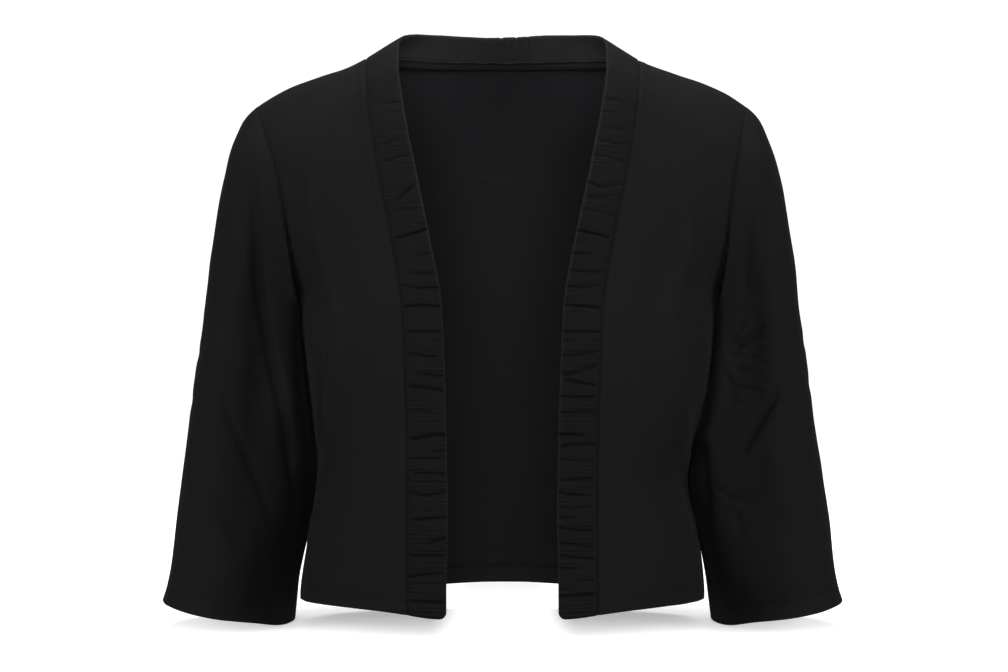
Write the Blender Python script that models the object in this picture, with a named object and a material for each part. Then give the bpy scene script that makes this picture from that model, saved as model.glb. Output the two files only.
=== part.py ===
"""A cropped, open-front jersey cardigan with a gathered band and three-quarter sleeves, for Blender 4.5.

It is hollow, in the form that it takes when it is worn. X runs to the wearer's left, -Y to the front and +Z
up, in metres, and the origin is midway between the two points where the shoulder seams meet the neck band, on
a level with them. Each panel is a cloth wall. Its outer face is lofted between named lines of the cut, and
its inner face lies one wall inside it. Neighbours share one direction at their seam, so they meet in a mitre
with a narrow gap.
"""

import math
from collections import namedtuple

import bmesh
import bpy
import numpy as np

# Driving dimensions, in metres.
WALL = 0.0016  # the jersey
HEM_WALL = 0.0028  # the jersey turned up on itself at the hems
BAND_WALL = 0.0030  # the gathered band, a strip folded double
SEAM_GAP = 0.0003  # between two panels at their seam
MOST_MITRE = 1.6  # how many times the wall's thickness a mitre may reach
BAND_CROWN = 0.0012  # how far the band rounds out between its seam and its fold
CREST_SHARE = 0.35  # height of the crest between two gathers, as a share of their depth
PLAIN_ROW_ROOM = 0.0030  # from the last gather up to the first plain row of the band
SHARP_ANGLE = 75  # degrees between two faces whose edge isn't shaded smooth

# Mesh columns.
FRONT_COLUMNS = 9
NECK_COLUMNS = 7  # from the centre back to the neck's corner
BAND_COLUMNS = 3

# The levels of the body, from the hem up, and how many mesh rows lie between each and the next one.
Level = namedtuple("Level", "name rows")
LEVELS = [
    Level("hem", 1),
    Level("hem_top", 1),
    Level("above_hem", 3),
    Level("waist", 2),
    Level("ribs", 2),
    Level("bust", 2),
    Level("underarm", 3),
    Level("low_armhole", 2),
    Level("mid_armhole", 2),
    Level("high_armhole", 2),
    Level("yoke", 2),
    Level("shoulder", 0),
]
HEM_LEVELS = 2  # the levels that the hem's turned-up cloth takes
UNDERARM = [level.name for level in LEVELS].index("underarm")
SHOULDER = len(LEVELS) - 1

# A line of the cut at each level: where it is, and how the cloth crosses it on its way from the middle of the
# body to the side. Turn is its heading in degrees, from straight sideways towards the back, run is how far it
# keeps that heading, and lift is how far it arches over the straight slope there.
Cross = namedtuple("Cross", "x y z turn run lift")
NECK_CORNER = Cross(0.1125, 0.0000, 0.0000, 0, 0.028, -0.0018)
SHOULDER_TIP = Cross(0.1950, 0.0000, -0.0357, 0, 0.027, 0.0066)
BAND_SEAM = [
    Cross(0.0728, -0.1310, -0.4387, 2, 0.060, 0.0060),
    Cross(0.0728, -0.1313, -0.4252, 2, 0.060, 0.0050),
    Cross(0.0728, -0.1313, -0.4232, 2, 0.060, 0.0050),
    Cross(0.0726, -0.1330, -0.3645, 3, 0.058, 0.0010),
    Cross(0.0728, -0.1345, -0.3025, 4, 0.058, 0.0),
    Cross(0.0745, -0.1340, -0.2465, 5, 0.056, 0.0),
    Cross(0.0770, -0.1270, -0.2005, 7, 0.046, 0.0),
    Cross(0.0858, -0.1095, -0.1525, 9, 0.034, 0.0),
    Cross(0.0972, -0.0845, -0.1025, 10, 0.026, 0.0),
    Cross(0.1066, -0.0545, -0.0520, 5, 0.023, 0.0),
    Cross(0.1112, -0.0285, -0.0190, 1, 0.025, -0.0010),
    NECK_CORNER,
]
SIDE_SEAM = [
    Cross(0.1645, 0.0020, -0.4408, 90, 0.078, 0.0060),
    Cross(0.1638, 0.0020, -0.4253, 90, 0.078, 0.0050),
    Cross(0.1636, 0.0020, -0.4233, 90, 0.078, 0.0050),
    Cross(0.1580, 0.0020, -0.3645, 90, 0.076, 0.0010),
    Cross(0.1565, 0.0020, -0.3075, 90, 0.074, 0.0),
    Cross(0.1575, 0.0010, -0.2525, 90, 0.070, 0.0),
    Cross(0.1595, 0.0000, -0.2075, 90, 0.062, 0.0),
]
FRONT_ARMHOLE = [
    Cross(0.1620, -0.0340, -0.1895, 68, 0.044, 0.0),
    Cross(0.1665, -0.0515, -0.1525, 48, 0.030, 0.0),
    Cross(0.1750, -0.0500, -0.1125, 25, 0.025, 0.0010),
    Cross(0.1860, -0.0330, -0.0715, 6, 0.026, 0.0040),
    SHOULDER_TIP,
]
BACK_ARMHOLE = [
    Cross(0.1635, 0.0360, -0.1895, -68, 0.044, 0.0),
    Cross(0.1705, 0.0530, -0.1525, -48, 0.030, 0.0),
    Cross(0.1790, 0.0510, -0.1125, -25, 0.025, 0.0010),
    Cross(0.1880, 0.0340, -0.0715, -6, 0.026, 0.0040),
    SHOULDER_TIP,
]
# The line of the back that runs up to the neck's corner.
BACK_RISE = [
    Cross(0.0900, 0.0945, -0.4405, -17, 0.032, 0.0),
    Cross(0.0897, 0.0940, -0.4230, -17, 0.032, 0.0),
    Cross(0.0897, 0.0940, -0.4210, -17, 0.032, 0.0),
    Cross(0.0850, 0.0880, -0.3635, -17, 0.030, 0.0),
    Cross(0.0845, 0.0872, -0.3045, -17, 0.030, 0.0),
    Cross(0.0870, 0.0900, -0.2495, -17, 0.030, 0.0),
    Cross(0.0910, 0.0925, -0.2025, -18, 0.030, 0.0),
    Cross(0.0970, 0.0905, -0.1550, -18, 0.028, 0.0),
    Cross(0.1030, 0.0830, -0.1105, -18, 0.026, 0.0),
    Cross(0.1100, 0.0660, -0.0650, -17, 0.024, 0.0),
    Cross(0.1160, 0.0370, -0.0235, -16, 0.024, 0.0),
    NECK_CORNER,
]
# Rows past the shoulder, which only steer the two lines that end there.
PAST_BAND_SEAM = Cross(0.1085, 0.0300, -0.0010, 0, 0.028, 0.0)
PAST_BACK_RISE = Cross(0.1060, -0.0300, -0.0190, 8, 0.024, 0.0)
CENTRE_BACK = [
    Cross(0.0, 0.1060, -0.4403, 0, 0.045, 0.0),
    Cross(0.0, 0.1055, -0.4228, 0, 0.045, 0.0),
    Cross(0.0, 0.1054, -0.4208, 0, 0.045, 0.0),
    Cross(0.0, 0.0990, -0.3635, 0, 0.045, 0.0),
    Cross(0.0, 0.0985, -0.3025, 0, 0.045, 0.0),
    Cross(0.0, 0.1020, -0.2475, 0, 0.045, 0.0),
    Cross(0.0, 0.1050, -0.2005, 0, 0.045, 0.0),
    Cross(0.0, 0.1045, -0.1525, 0, 0.045, 0.0),
    Cross(0.0, 0.1000, -0.1075, 0, 0.045, 0.0),
    Cross(0.0, 0.0895, -0.0625, 0, 0.045, 0.0),
    Cross(0.0, 0.0745, -0.0255, 0, 0.048, 0.0),
    Cross(0.0, 0.0600, 0.0005, 0, 0.056, 0.0),
]
# The rise again, as the middle of the back meets it: near the neck's corner it swings forward round the neck.
RISE_TO_NECK = BACK_RISE[:-3] + [
    BACK_RISE[-3]._replace(turn=-20),
    BACK_RISE[-2]._replace(turn=-38, run=0.027),
    NECK_CORNER._replace(turn=-82, run=0.030),
]
PAST_NECK = PAST_BACK_RISE._replace(turn=-110, run=0.030)

# The band's folded edge, level by level up the front, then on round the neck to the centre back.
Edge = namedtuple("Edge", "x y z")
BAND_FOLD = [
    Edge(0.0428, -0.1330, -0.4415),
    Edge(0.0426, -0.1332, -0.4280),
    Edge(0.0426, -0.1332, -0.4260),
    Edge(0.0416, -0.1350, -0.3645),
    Edge(0.0425, -0.1370, -0.3025),
    Edge(0.0442, -0.1375, -0.2435),
    Edge(0.0472, -0.1340, -0.1965),
    Edge(0.0570, -0.1215, -0.1465),
    Edge(0.0680, -0.0960, -0.0955),
    Edge(0.0788, -0.0620, -0.0425),
    Edge(0.0842, -0.0310, -0.0045),
    Edge(0.0820, 0.0000, 0.0180),
]
NECK_FOLD = [
    Edge(0.0560, 0.0285, 0.0227),
    Edge(0.0, 0.0360, 0.0208),
    Edge(-0.0560, 0.0285, 0.0227),
]

# The sleeve's rings, from the armhole to the cuff: the outer and the inner point, the middle and the reach to
# each face, how far back the inner point swings, how much of the armhole's own outline is left, and how many
# mesh rows lie before the next ring.
Ring = namedtuple("Ring", "outer_x outer_z inner_x inner_z middle_y reach swing armhole rows")
SLEEVE_RINGS = [
    Ring(0.1950, -0.0357, 0.1595, -0.2075, 0.000, 0.053, 0.000, 1.00, 1),
    Ring(0.2090, -0.0492, 0.1650, -0.2080, 0.000, 0.057, 0.000, 0.60, 2),
    Ring(0.2285, -0.0990, 0.1678, -0.2140, 0.000, 0.060, 0.012, 0.20, 2),
    Ring(0.2382, -0.1600, 0.1652, -0.2305, -0.002, 0.062, 0.030, 0.00, 2),
    Ring(0.2457, -0.2315, 0.1612, -0.2645, -0.006, 0.062, 0.044, 0.00, 2),
    Ring(0.2548, -0.3025, 0.1600, -0.3175, -0.010, 0.061, 0.044, 0.00, 2),
    Ring(0.2634, -0.3675, 0.1612, -0.3760, -0.012, 0.062, 0.044, 0.00, 2),
    Ring(0.2717, -0.4270, 0.1692, -0.4420, -0.013, 0.064, 0.034, 0.00, 1),
    Ring(0.2721, -0.4290, 0.1695, -0.4440, -0.013, 0.064, 0.034, 0.00, 1),
    Ring(0.2762, -0.4430, 0.1722, -0.4590, -0.014, 0.067, 0.030, 0.00, 0),
]
CUFF_RINGS = 2  # the rings that the hem's turned-up cloth takes, from the cuff up

# The band's gathers, from the hem up: the height of each at the band's seam, how deep it is, and how much
# higher it meets the fold.
Gather = namedtuple("Gather", "z depth rise")
GATHERS = [
    Gather(-0.425, 0.0010, 0.000),
    Gather(-0.418, 0.0012, 0.001),
    Gather(-0.408, 0.0012, 0.000),
    Gather(-0.395, 0.0013, -0.002),
    Gather(-0.384, 0.0013, 0.001),
    Gather(-0.367, 0.0015, 0.000),
    Gather(-0.360, 0.0013, 0.001),
    Gather(-0.348, 0.0017, 0.003),
    Gather(-0.334, 0.0014, 0.000),
    Gather(-0.321, 0.0013, -0.003),
    Gather(-0.314, 0.0012, -0.001),
    Gather(-0.303, 0.0021, 0.002),
    Gather(-0.284, 0.0017, 0.003),
    Gather(-0.267, 0.0015, 0.000),
    Gather(-0.257, 0.0014, -0.002),
    Gather(-0.242, 0.0016, 0.000),
    Gather(-0.232, 0.0014, 0.002),
    Gather(-0.223, 0.0013, 0.001),
    Gather(-0.205, 0.0020, -0.002),
    Gather(-0.189, 0.0015, 0.001),
    Gather(-0.178, 0.0014, 0.001),
    Gather(-0.165, 0.0016, -0.001),
    Gather(-0.148, 0.0021, -0.004),
    Gather(-0.131, 0.0014, 0.000),
    Gather(-0.114, 0.0019, 0.003),
    Gather(-0.088, 0.0012, 0.001),
    Gather(-0.076, 0.0010, 0.000),
    Gather(-0.042, 0.0007, 0.000),
]
SHALLOW_AT_SEAM = [0.0, 0.85, 1.0, 0.55]  # a gather's depth across the band, from its seam to its fold

# Each piece's finish: its colour, linear, and its roughness.
Finish = namedtuple("Finish", "colour roughness")
BODY_JERSEY = Finish((0.0125, 0.0130, 0.0145), 0.85)
SLEEVE_JERSEY = Finish((0.0100, 0.0105, 0.0115), 0.85)
BAND_JERSEY = Finish((0.0140, 0.0145, 0.0160), 0.80)


def clear_scene():
    """Remove every object that the new file starts with."""
    for item in list(bpy.data.objects):
        bpy.data.objects.remove(item, do_unlink=True)


def mesh_places(table):
    """Where each mesh row lies on a table's lines, counted in the table's rows."""
    places = [start + step / row.rows for start, row in enumerate(table) for step in range(row.rows)]
    return np.array(places + [len(table) - 1.0])


def smooth_line(table, places):
    """Values of the smooth line through a table's rows, at places counted in rows."""
    rows = np.array(table, dtype=float)
    gaps = np.linalg.norm(np.diff(rows[:, :3], axis=0), axis=1)[:, None]
    slopes = np.diff(rows, axis=0) / gaps
    tangents = np.empty_like(rows)
    tangents[1:-1] = (slopes[:-1] * gaps[1:] + slopes[1:] * gaps[:-1]) / (gaps[:-1] + gaps[1:])
    tangents[0] = 2 * slopes[0] - tangents[1]
    tangents[-1] = 2 * slopes[-1] - tangents[-2]
    low = np.clip(np.floor(places).astype(int), 0, len(rows) - 2)
    part = (places - low)[:, None]
    gap = gaps[low]
    return (
        rows[low] * (1 + 2 * part) * (1 - part) ** 2
        + rows[low + 1] * (3 - 2 * part) * part**2
        + tangents[low] * gap * part * (1 - part) ** 2
        - tangents[low + 1] * gap * part**2 * (1 - part)
    )


def handles(crosses, slope):
    """How far and which way the cloth keeps its heading where it crosses a line."""
    turn = np.radians(crosses[:, 3])
    heading = np.stack([np.cos(turn), np.sin(turn), slope], axis=1)
    return heading * crosses[:, 4:5]


def loft(starts, ends, columns):
    """A grid of points between two lines of the cut, each row a cubic curve that leaves both as they say."""
    across = ends[:, :3] - starts[:, :3]
    slope = across[:, 2] / np.hypot(across[:, 0], across[:, 1])
    lifts = np.array([[0.0, 0.0, 1.0]])
    first = starts[:, :3] + handles(starts, slope) + lifts * starts[:, 5:6]
    second = ends[:, :3] - handles(ends, slope) + lifts * ends[:, 5:6]
    t = np.linspace(0.0, 1.0, columns + 1)[None, :, None]
    return (
        starts[:, None, :3] * (1 - t) ** 3
        + first[:, None] * 3 * t * (1 - t) ** 2
        + second[:, None] * 3 * t**2 * (1 - t)
        + ends[:, None, :3] * t**3
    )


def body_lines():
    """The lines of the cut at every mesh row, from the band seam round both sides to the centre back."""
    places = mesh_places(LEVELS)
    underarm = SIDE_SEAM[-1]
    underarm_behind = underarm._replace(turn=-underarm.turn)
    round_armhole = [underarm] + FRONT_ARMHOLE + BACK_ARMHOLE[-2::-1] + [underarm_behind]
    below = places < UNDERARM
    side = smooth_line(SIDE_SEAM, places[below])
    behind = side * np.array([1, 1, 1, -1, 1, 1])
    front_side = np.concatenate([side, smooth_line(round_armhole, places[~below] - UNDERARM)])
    last = len(round_armhole) - 1
    back_side = np.concatenate([behind, smooth_line(round_armhole, last - (places[~below] - UNDERARM))])
    return {
        "band_seam": smooth_line(BAND_SEAM + [PAST_BAND_SEAM], places),
        "rise": smooth_line(BACK_RISE + [PAST_BACK_RISE], places),
        "rise_to_neck": smooth_line(RISE_TO_NECK + [PAST_NECK], places),
        "centre_back": smooth_line(CENTRE_BACK, places),
        "front_side": front_side,
        "back_side": back_side,
    }


def back_half(lines):
    """The left half of the back, from the centre back past the rise to the side and the armhole."""
    middle = loft(lines["centre_back"], lines["rise_to_neck"], NECK_COLUMNS)
    flank = loft(lines["rise"], lines["back_side"], FRONT_COLUMNS)
    return np.concatenate([middle, flank[:, 1:]], axis=1)


def straight_across(starts, ends, columns):
    """A grid of points on straight lines from one edge to another."""
    t = np.linspace(0.0, 1.0, columns + 1)[None, :, None]
    return starts[:, None] * (1 - t) + ends[:, None] * t


def neck_half(neckline):
    """The left half of the neck band, its rows running up from the back neckline to the fold."""
    centre = len(BAND_FOLD) + len(NECK_FOLD) // 2
    fold = smooth_line(BAND_FOLD + NECK_FOLD, np.linspace(centre, SHOULDER, NECK_COLUMNS + 1))
    return straight_across(neckline, fold, BAND_COLUMNS).transpose(1, 0, 2)


def sleeve_tube(front, back):
    """The sleeve's rings from the armhole to the cuff, each running from the underarm over the front."""
    underarm_row = sum(level.rows for level in LEVELS[:UNDERARM])
    up_front = front[underarm_row:, -1]
    down_back = back[underarm_row:, -1][::-1]
    armhole = np.concatenate([up_front, down_back[1:-1]])
    angles = np.concatenate([-ring_angles(up_front), ring_angles(down_back[::-1])[::-1][1:-1]])
    rings = smooth_line(SLEEVE_RINGS, mesh_places(SLEEVE_RINGS))
    plain = np.array([ring_points(ring, angles) for ring in rings])
    kept = rings[:, 7][:, None, None]
    return plain + kept * (armhole - plain[0])


def ring_angles(edge):
    """The angle of each point of an armhole's edge on its ring: a half turn at the underarm, 0 at the tip."""
    steps = np.linalg.norm(np.diff(edge, axis=0), axis=1)
    along = np.concatenate([[0.0], np.cumsum(steps)])
    return math.pi * (1 - along / along[-1])


def ring_points(ring, angles):
    """The points of one ring of the sleeve."""
    outer_x, outer_z, inner_x, inner_z, middle_y, reach, swing = ring[:7]
    side = np.cos(angles)
    x = (outer_x + inner_x) / 2 + (outer_x - inner_x) / 2 * side
    y = middle_y + reach * np.sin(angles) + swing * (1 - side) / 2
    z = (outer_z + inner_z) / 2 + (outer_z - inner_z) / 2 * side
    return np.stack([x, y, z], axis=1)


class Panel:
    """A piece of the cut: a grid of points on its outer face, later with the matching inner grid."""

    def __init__(self, outer, facing, walls, closed=False):
        self.outer = outer
        self.facing = facing  # 1 where columns crossed with rows point out of the garment, or -1
        self.walls = walls  # the wall's thickness at each row
        self.closed = closed  # the last column meets the first one
        self.inner = None

    def normals(self):
        """The direction out of the garment at each point, from this panel's own faces."""
        grid = np.concatenate([self.outer, self.outer[:, :1]], axis=1) if self.closed else self.outer
        long = grid[1:, 1:] - grid[:-1, :-1]
        short = grid[1:, :-1] - grid[:-1, 1:]
        faces = np.cross(long, short) * self.facing
        sums = np.zeros_like(grid)
        sums[:-1, :-1] += faces
        sums[1:, :-1] += faces
        sums[:-1, 1:] += faces
        sums[1:, 1:] += faces
        if self.closed:
            sums[:, 0] += sums[:, -1]
            sums = sums[:, :-1]
        sums[np.abs(self.outer[..., 0]) < SEAM_GAP, 0] = 0.0
        return unit(sums)

    def set_inner(self, seam_normals):
        """Lay the inner face one wall inside the outer one, along directions shared with the neighbours."""
        shared = unit(np.array([[seam_normals[key(point)] for point in row] for row in self.outer]))
        lean = np.maximum(dot(self.normals(), shared), 1 / MOST_MITRE)
        self.inner = self.outer - shared * self.walls[:, None, None] / lean

    def open_seams(self, edges):
        """Draw the panel back from the named edges by half of the seams' gap."""
        for edge in edges:
            index, following = EDGES[edge]
            points = self.outer[index]
            inward = self.outer[following] - points
            if self.closed:
                points = np.concatenate([points[-1:], points, points[:1]])
                inward = np.concatenate([inward[-1:], inward, inward[:1]])
            along = unit(np.diff(points, axis=0))
            inward = inward[1:] + inward[:-1]
            inward = unit(inward - along * dot(inward, along))
            before = inward[:-1] if self.closed else np.concatenate([inward[:1], inward])
            after = inward[1:] if self.closed else np.concatenate([inward, inward[-1:]])
            shift = (before + after) / (1 + dot(before, after)) * SEAM_GAP / 2
            self.outer[index] = self.outer[index] + shift
            self.inner[index] = self.inner[index] + shift


EDGES = {
    "first_column": (np.s_[:, 0], np.s_[:, 1]),
    "last_column": (np.s_[:, -1], np.s_[:, -2]),
    "first_row": (np.s_[0], np.s_[1]),
    "last_row": (np.s_[-1], np.s_[-2]),
}


def unit(vectors):
    """Vectors of length 1."""
    return vectors / np.linalg.norm(vectors, axis=-1, keepdims=True)


def dot(one, other):
    """The dot products of two rows of vectors."""
    return (one * other).sum(axis=-1, keepdims=True)


def key(point):
    """A name for a point that its neighbours in other panels share."""
    return tuple(np.round(point, 6) + 0.0)


def share_normals(panels):
    """The sum of the panels' normals at each point, so that a seam's lie midway between its two panels."""
    shared = {}
    for panel in panels:
        for point, normal in zip(panel.outer.reshape(-1, 3), panel.normals().reshape(-1, 3)):
            shared[key(point)] = shared.get(key(point), 0.0) + normal
    return shared


def rows_at(grid, places):
    """Points between a grid's rows, each column at its own places, counted in rows."""
    steps = np.arange(len(grid))
    columns = [
        [np.interp(places[:, column], steps, grid[:, column, axis]) for axis in range(3)]
        for column in range(grid.shape[1])
    ]
    return np.array(columns).transpose(2, 0, 1)


def band_rows(panel_heights):
    """The band's mesh rows: the hem, each gather and the crest after it, and then the panel's own rows."""
    rows = [Gather(panel_heights[0], 0.0, 0.0)]
    for low, high in zip(GATHERS, GATHERS[1:]):
        crest = -CREST_SHARE * (low.depth + high.depth) / 2
        rows.append(low)
        rows.append(Gather((low.z + high.z) / 2, crest, (low.rise + high.rise) / 2))
    rows.append(GATHERS[-1])
    plain_from = GATHERS[-1].z + PLAIN_ROW_ROOM
    return rows + [Gather(height, 0.0, 0.0) for height in panel_heights if height > plain_from]


def gather_band(band):
    """The finished band: finer rows on its plain form, drawn in at each gather and crowned in between."""
    panel_heights = band.outer[:, 0, 2]
    rows = band_rows(panel_heights)
    across = np.linspace(0.0, 1.0, BAND_COLUMNS + 1)
    heights = np.array([[row.z + row.rise * share for share in across] for row in rows])
    places = np.interp(heights, panel_heights, np.arange(len(panel_heights)))
    depths = np.array([row.depth for row in rows])
    crown = np.full(len(rows), BAND_CROWN)
    crown[-1] = 0.0
    relief = crown[:, None] * 4 * across * (1 - across) - depths[:, None] * np.array(SHALLOW_AT_SEAM)
    outer = rows_at(band.outer, places)
    inner = rows_at(band.inner, places)
    shift = unit(outer - inner) * relief[..., None]
    return outer + shift, inner + shift


def mirrored(grid):
    """The same grid on the wearer's right."""
    return grid * np.array([-1.0, 1.0, 1.0])


def both_halves(grid):
    """A whole grid from its left half, whose first column lies in the middle."""
    return np.concatenate([mirrored(grid[:, :0:-1]), grid], axis=1)


def jersey(name, finish):
    """The material of one piece."""
    material = bpy.data.materials.new(name)
    material.use_nodes = True
    shader = material.node_tree.nodes["Principled BSDF"]
    shader.inputs["Base Color"].default_value = (*finish.colour, 1.0)
    shader.inputs["Roughness"].default_value = finish.roughness
    shader.inputs["Metallic"].default_value = 0.0
    material.diffuse_color = (*finish.colour, 1.0)
    return material


def add_wall(name, outer, inner, finish, closed=False):
    """One closed body between an outer and an inner grid, as a named object."""
    mesh = bmesh.new()
    faces = [[[mesh.verts.new(point) for point in row] for row in grid] for grid in (outer, inner)]
    rows, columns = outer.shape[:2]
    wrap = columns if closed else columns - 1
    for skin in faces:
        for row in range(rows - 1):
            for column in range(wrap):
                beside = (column + 1) % columns
                corners = [(row, column), (row, beside), (row + 1, beside), (row + 1, column)]
                mesh.faces.new([skin[i][j] for i, j in corners])
    for pair in rim_edges(rows, columns, closed):
        # Both panels of a seam split their rims from the lower point, so the two rims stay parallel.
        low, high = sorted(pair, key=lambda place: outer[place][2])
        low_outer, low_inner = (skin[low[0]][low[1]] for skin in faces)
        high_outer, high_inner = (skin[high[0]][high[1]] for skin in faces)
        mesh.faces.new([low_outer, high_outer, high_inner])
        mesh.faces.new([low_outer, high_inner, low_inner])
    bmesh.ops.recalc_face_normals(mesh, faces=mesh.faces)
    data = bpy.data.meshes.new(name)
    mesh.to_mesh(data)
    mesh.free()
    data.shade_smooth()
    data.set_sharp_from_angle(angle=math.radians(SHARP_ANGLE))
    data.materials.append(jersey(name + "_jersey", finish))
    bpy.context.scene.collection.objects.link(bpy.data.objects.new(name, data))


def rim_edges(rows, columns, closed):
    """The pairs of grid places along the rims of a grid."""
    pairs = []
    for row in (0, rows - 1):
        steps = columns if closed else columns - 1
        pairs += [((row, column), (row, (column + 1) % columns)) for column in range(steps)]
    if not closed:
        for column in (0, columns - 1):
            pairs += [((row, column), (row + 1, column)) for row in range(rows - 1)]
    return pairs


def body_walls():
    """The wall's thickness at each mesh row of the body, thicker below the top of the hem."""
    return np.where(mesh_places(LEVELS) < HEM_LEVELS, HEM_WALL, WALL)


def sleeve_walls():
    """The wall's thickness at each mesh row of the sleeve, thicker below the top of its hem."""
    return np.where(mesh_places(SLEEVE_RINGS) > len(SLEEVE_RINGS) - 1 - CUFF_RINGS, HEM_WALL, WALL)


def make_cardigan():
    """Loft the panels of the left half, join them at their seams, and add each one and its mirror image."""
    lines = body_lines()
    front = Panel(loft(lines["band_seam"], lines["front_side"], FRONT_COLUMNS), 1, body_walls())
    back = Panel(back_half(lines), -1, body_walls())
    sleeve = Panel(sleeve_tube(front.outer, back.outer), -1, sleeve_walls(), closed=True)
    fold = smooth_line(BAND_FOLD + NECK_FOLD, mesh_places(LEVELS))
    band_walls = np.full(len(fold), BAND_WALL)
    band = Panel(straight_across(lines["band_seam"][:, :3], fold, BAND_COLUMNS), -1, band_walls)
    neckline = back.outer[-1, : NECK_COLUMNS + 1]
    neck = Panel(neck_half(neckline), -1, np.full(BAND_COLUMNS + 1, BAND_WALL))

    panels = [front, back, sleeve, band, neck]
    shared = share_normals(panels)
    for panel in panels:
        panel.set_inner(shared)
    front.open_seams(["first_column", "last_column", "last_row"])
    back.open_seams(["last_column", "last_row"])
    sleeve.open_seams(["first_row"])
    band.open_seams(["first_column", "last_row"])
    neck.open_seams(["first_row", "last_column"])
    band_outer, band_inner = gather_band(band)

    add_wall("back", both_halves(back.outer), both_halves(back.inner), BODY_JERSEY)
    add_wall("neck_band", both_halves(neck.outer), both_halves(neck.inner), BAND_JERSEY)
    for side, turned in (("left", np.array), ("right", mirrored)):
        add_wall("front_" + side, turned(front.outer), turned(front.inner), BODY_JERSEY)
        add_wall("sleeve_" + side, turned(sleeve.outer), turned(sleeve.inner), SLEEVE_JERSEY, closed=True)
        add_wall("band_" + side, turned(band_outer), turned(band_inner), BAND_JERSEY)


clear_scene()
make_cardigan()
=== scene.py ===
"""How the open-front cropped jersey cardigan looks: its cloth, folds, gathers, stitching and studio.

Tables are in millimetres and all other lengths in metres, in the part's own frame: X runs to the wearer's
left, -Y to the front and +Z up, and the origin is midway between the points where the shoulder seams meet the
neck band. Each piece of cloth is a thin closed shell on the same lines of the cut as its solid. Its relief is
what the cloth does on that form: soft unevenness, folds laid one by one, the creases of the gathers, grooves
at the seams and stitched hems. The cut is drawn on the wearer's left and mirrored, and each side then hangs
in its own way.
"""

from __future__ import annotations

import logging
import math
from dataclasses import dataclass, field
from enum import Enum
from typing import NamedTuple, Sequence, Union

import bpy
import numpy as np
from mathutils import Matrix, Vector

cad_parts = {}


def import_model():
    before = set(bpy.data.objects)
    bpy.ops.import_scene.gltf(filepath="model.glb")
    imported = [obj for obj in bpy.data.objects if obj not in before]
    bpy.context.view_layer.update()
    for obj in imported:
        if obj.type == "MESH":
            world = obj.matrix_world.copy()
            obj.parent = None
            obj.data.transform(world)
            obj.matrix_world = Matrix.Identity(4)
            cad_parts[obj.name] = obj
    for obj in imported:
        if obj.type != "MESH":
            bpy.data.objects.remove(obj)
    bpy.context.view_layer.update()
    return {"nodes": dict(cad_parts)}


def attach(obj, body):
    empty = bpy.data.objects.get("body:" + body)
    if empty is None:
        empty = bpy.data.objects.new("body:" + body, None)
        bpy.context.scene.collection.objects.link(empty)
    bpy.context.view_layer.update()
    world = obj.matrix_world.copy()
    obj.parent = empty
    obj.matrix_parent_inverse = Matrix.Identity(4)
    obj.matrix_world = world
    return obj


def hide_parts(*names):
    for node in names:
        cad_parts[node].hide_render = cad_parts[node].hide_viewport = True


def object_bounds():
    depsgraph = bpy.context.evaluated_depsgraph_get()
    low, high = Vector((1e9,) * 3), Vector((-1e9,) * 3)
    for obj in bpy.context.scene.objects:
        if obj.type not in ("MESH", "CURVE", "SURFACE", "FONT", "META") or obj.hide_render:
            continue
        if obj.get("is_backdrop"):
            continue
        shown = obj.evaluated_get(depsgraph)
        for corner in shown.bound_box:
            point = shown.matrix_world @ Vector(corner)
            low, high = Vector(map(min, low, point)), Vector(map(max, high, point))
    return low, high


LOG = logging.getLogger("cardigan")
BODY = "root"
MM = 0.001
KEY_DIGITS = 6  # to which digit of a metre points that lie together agree
EDGE_CROWDING = 0.78  # how much closer together columns lie beside a seam

Points = np.ndarray  # a grid or a line of points, its last axis x, y and z
Colour = tuple[float, float, float]
# Mesh rows before a table's next row: how many, or the shares where they lie.
Step = Union[int, tuple[float, ...]]


def table(kind: type, plain: tuple[int, ...], *rows: tuple[float, ...]) -> tuple:
    """Return a table's rows with their lengths in metres.

    Args:
        kind: the tuple that a row becomes.
        plain: the columns that aren't lengths.
        rows: the rows, their lengths in millimetres.
    """
    return tuple(kind(*(v if column in plain else v * MM for column, v in enumerate(row))) for row in rows)


# ---------------------------------------------------------------------------------------- the cut


class Place(NamedTuple):
    """A point of a line."""

    x: float
    y: float
    z: float


class Cross(NamedTuple):
    """Where a line of the cut passes a level, and how the cloth crosses it on its way to the side."""

    x: float
    y: float
    z: float
    turn: float = 0.0  # its heading there, in degrees
    run: float = 0.0  # how far it keeps that heading
    lift: float = 0.0


class Ring(NamedTuple):
    """A ring of the sleeve: its outer and inner point, its middle, its reach and its inner point's swing."""

    outer_x: float
    outer_z: float
    inner_x: float
    inner_z: float
    middle_y: float
    reach: float
    swing: float
    armhole: float  # how much of the armhole's own line it keeps


TURN = (3,)  # the column of a Cross that is an angle
NECK_CORNER, SHOULDER_TIP, PAST_BAND_SEAM, PAST_BACK_RISE = table(
    Cross,
    TURN,
    (112.5, 0, 0, 0, 28, -1.8),
    (195, 0, -35.7, 0, 27, 6.6),
    (108.5, 30, -1, 0, 28),
    (106, -30, -19, 8, 24),
)
BAND_SEAM = table(
    Cross,
    TURN,
    (72.8, -131, -438.7, 2, 60, 6), (72.8, -131.3, -425.2, 2, 60, 5), (72.8, -131.3, -423.2, 2, 60, 5),
    (72.6, -133, -364.5, 3, 58, 1), (72.8, -134.5, -302.5, 4, 58), (74.5, -134, -246.5, 5, 56),
    (77, -127, -200.5, 7, 46), (85.8, -109.5, -152.5, 9, 34), (97.2, -84.5, -102.5, 10, 26),
    (106.6, -54.5, -52, 5, 23), (111.2, -28.5, -19, 1, 25, -1),
) + (NECK_CORNER,)
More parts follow.
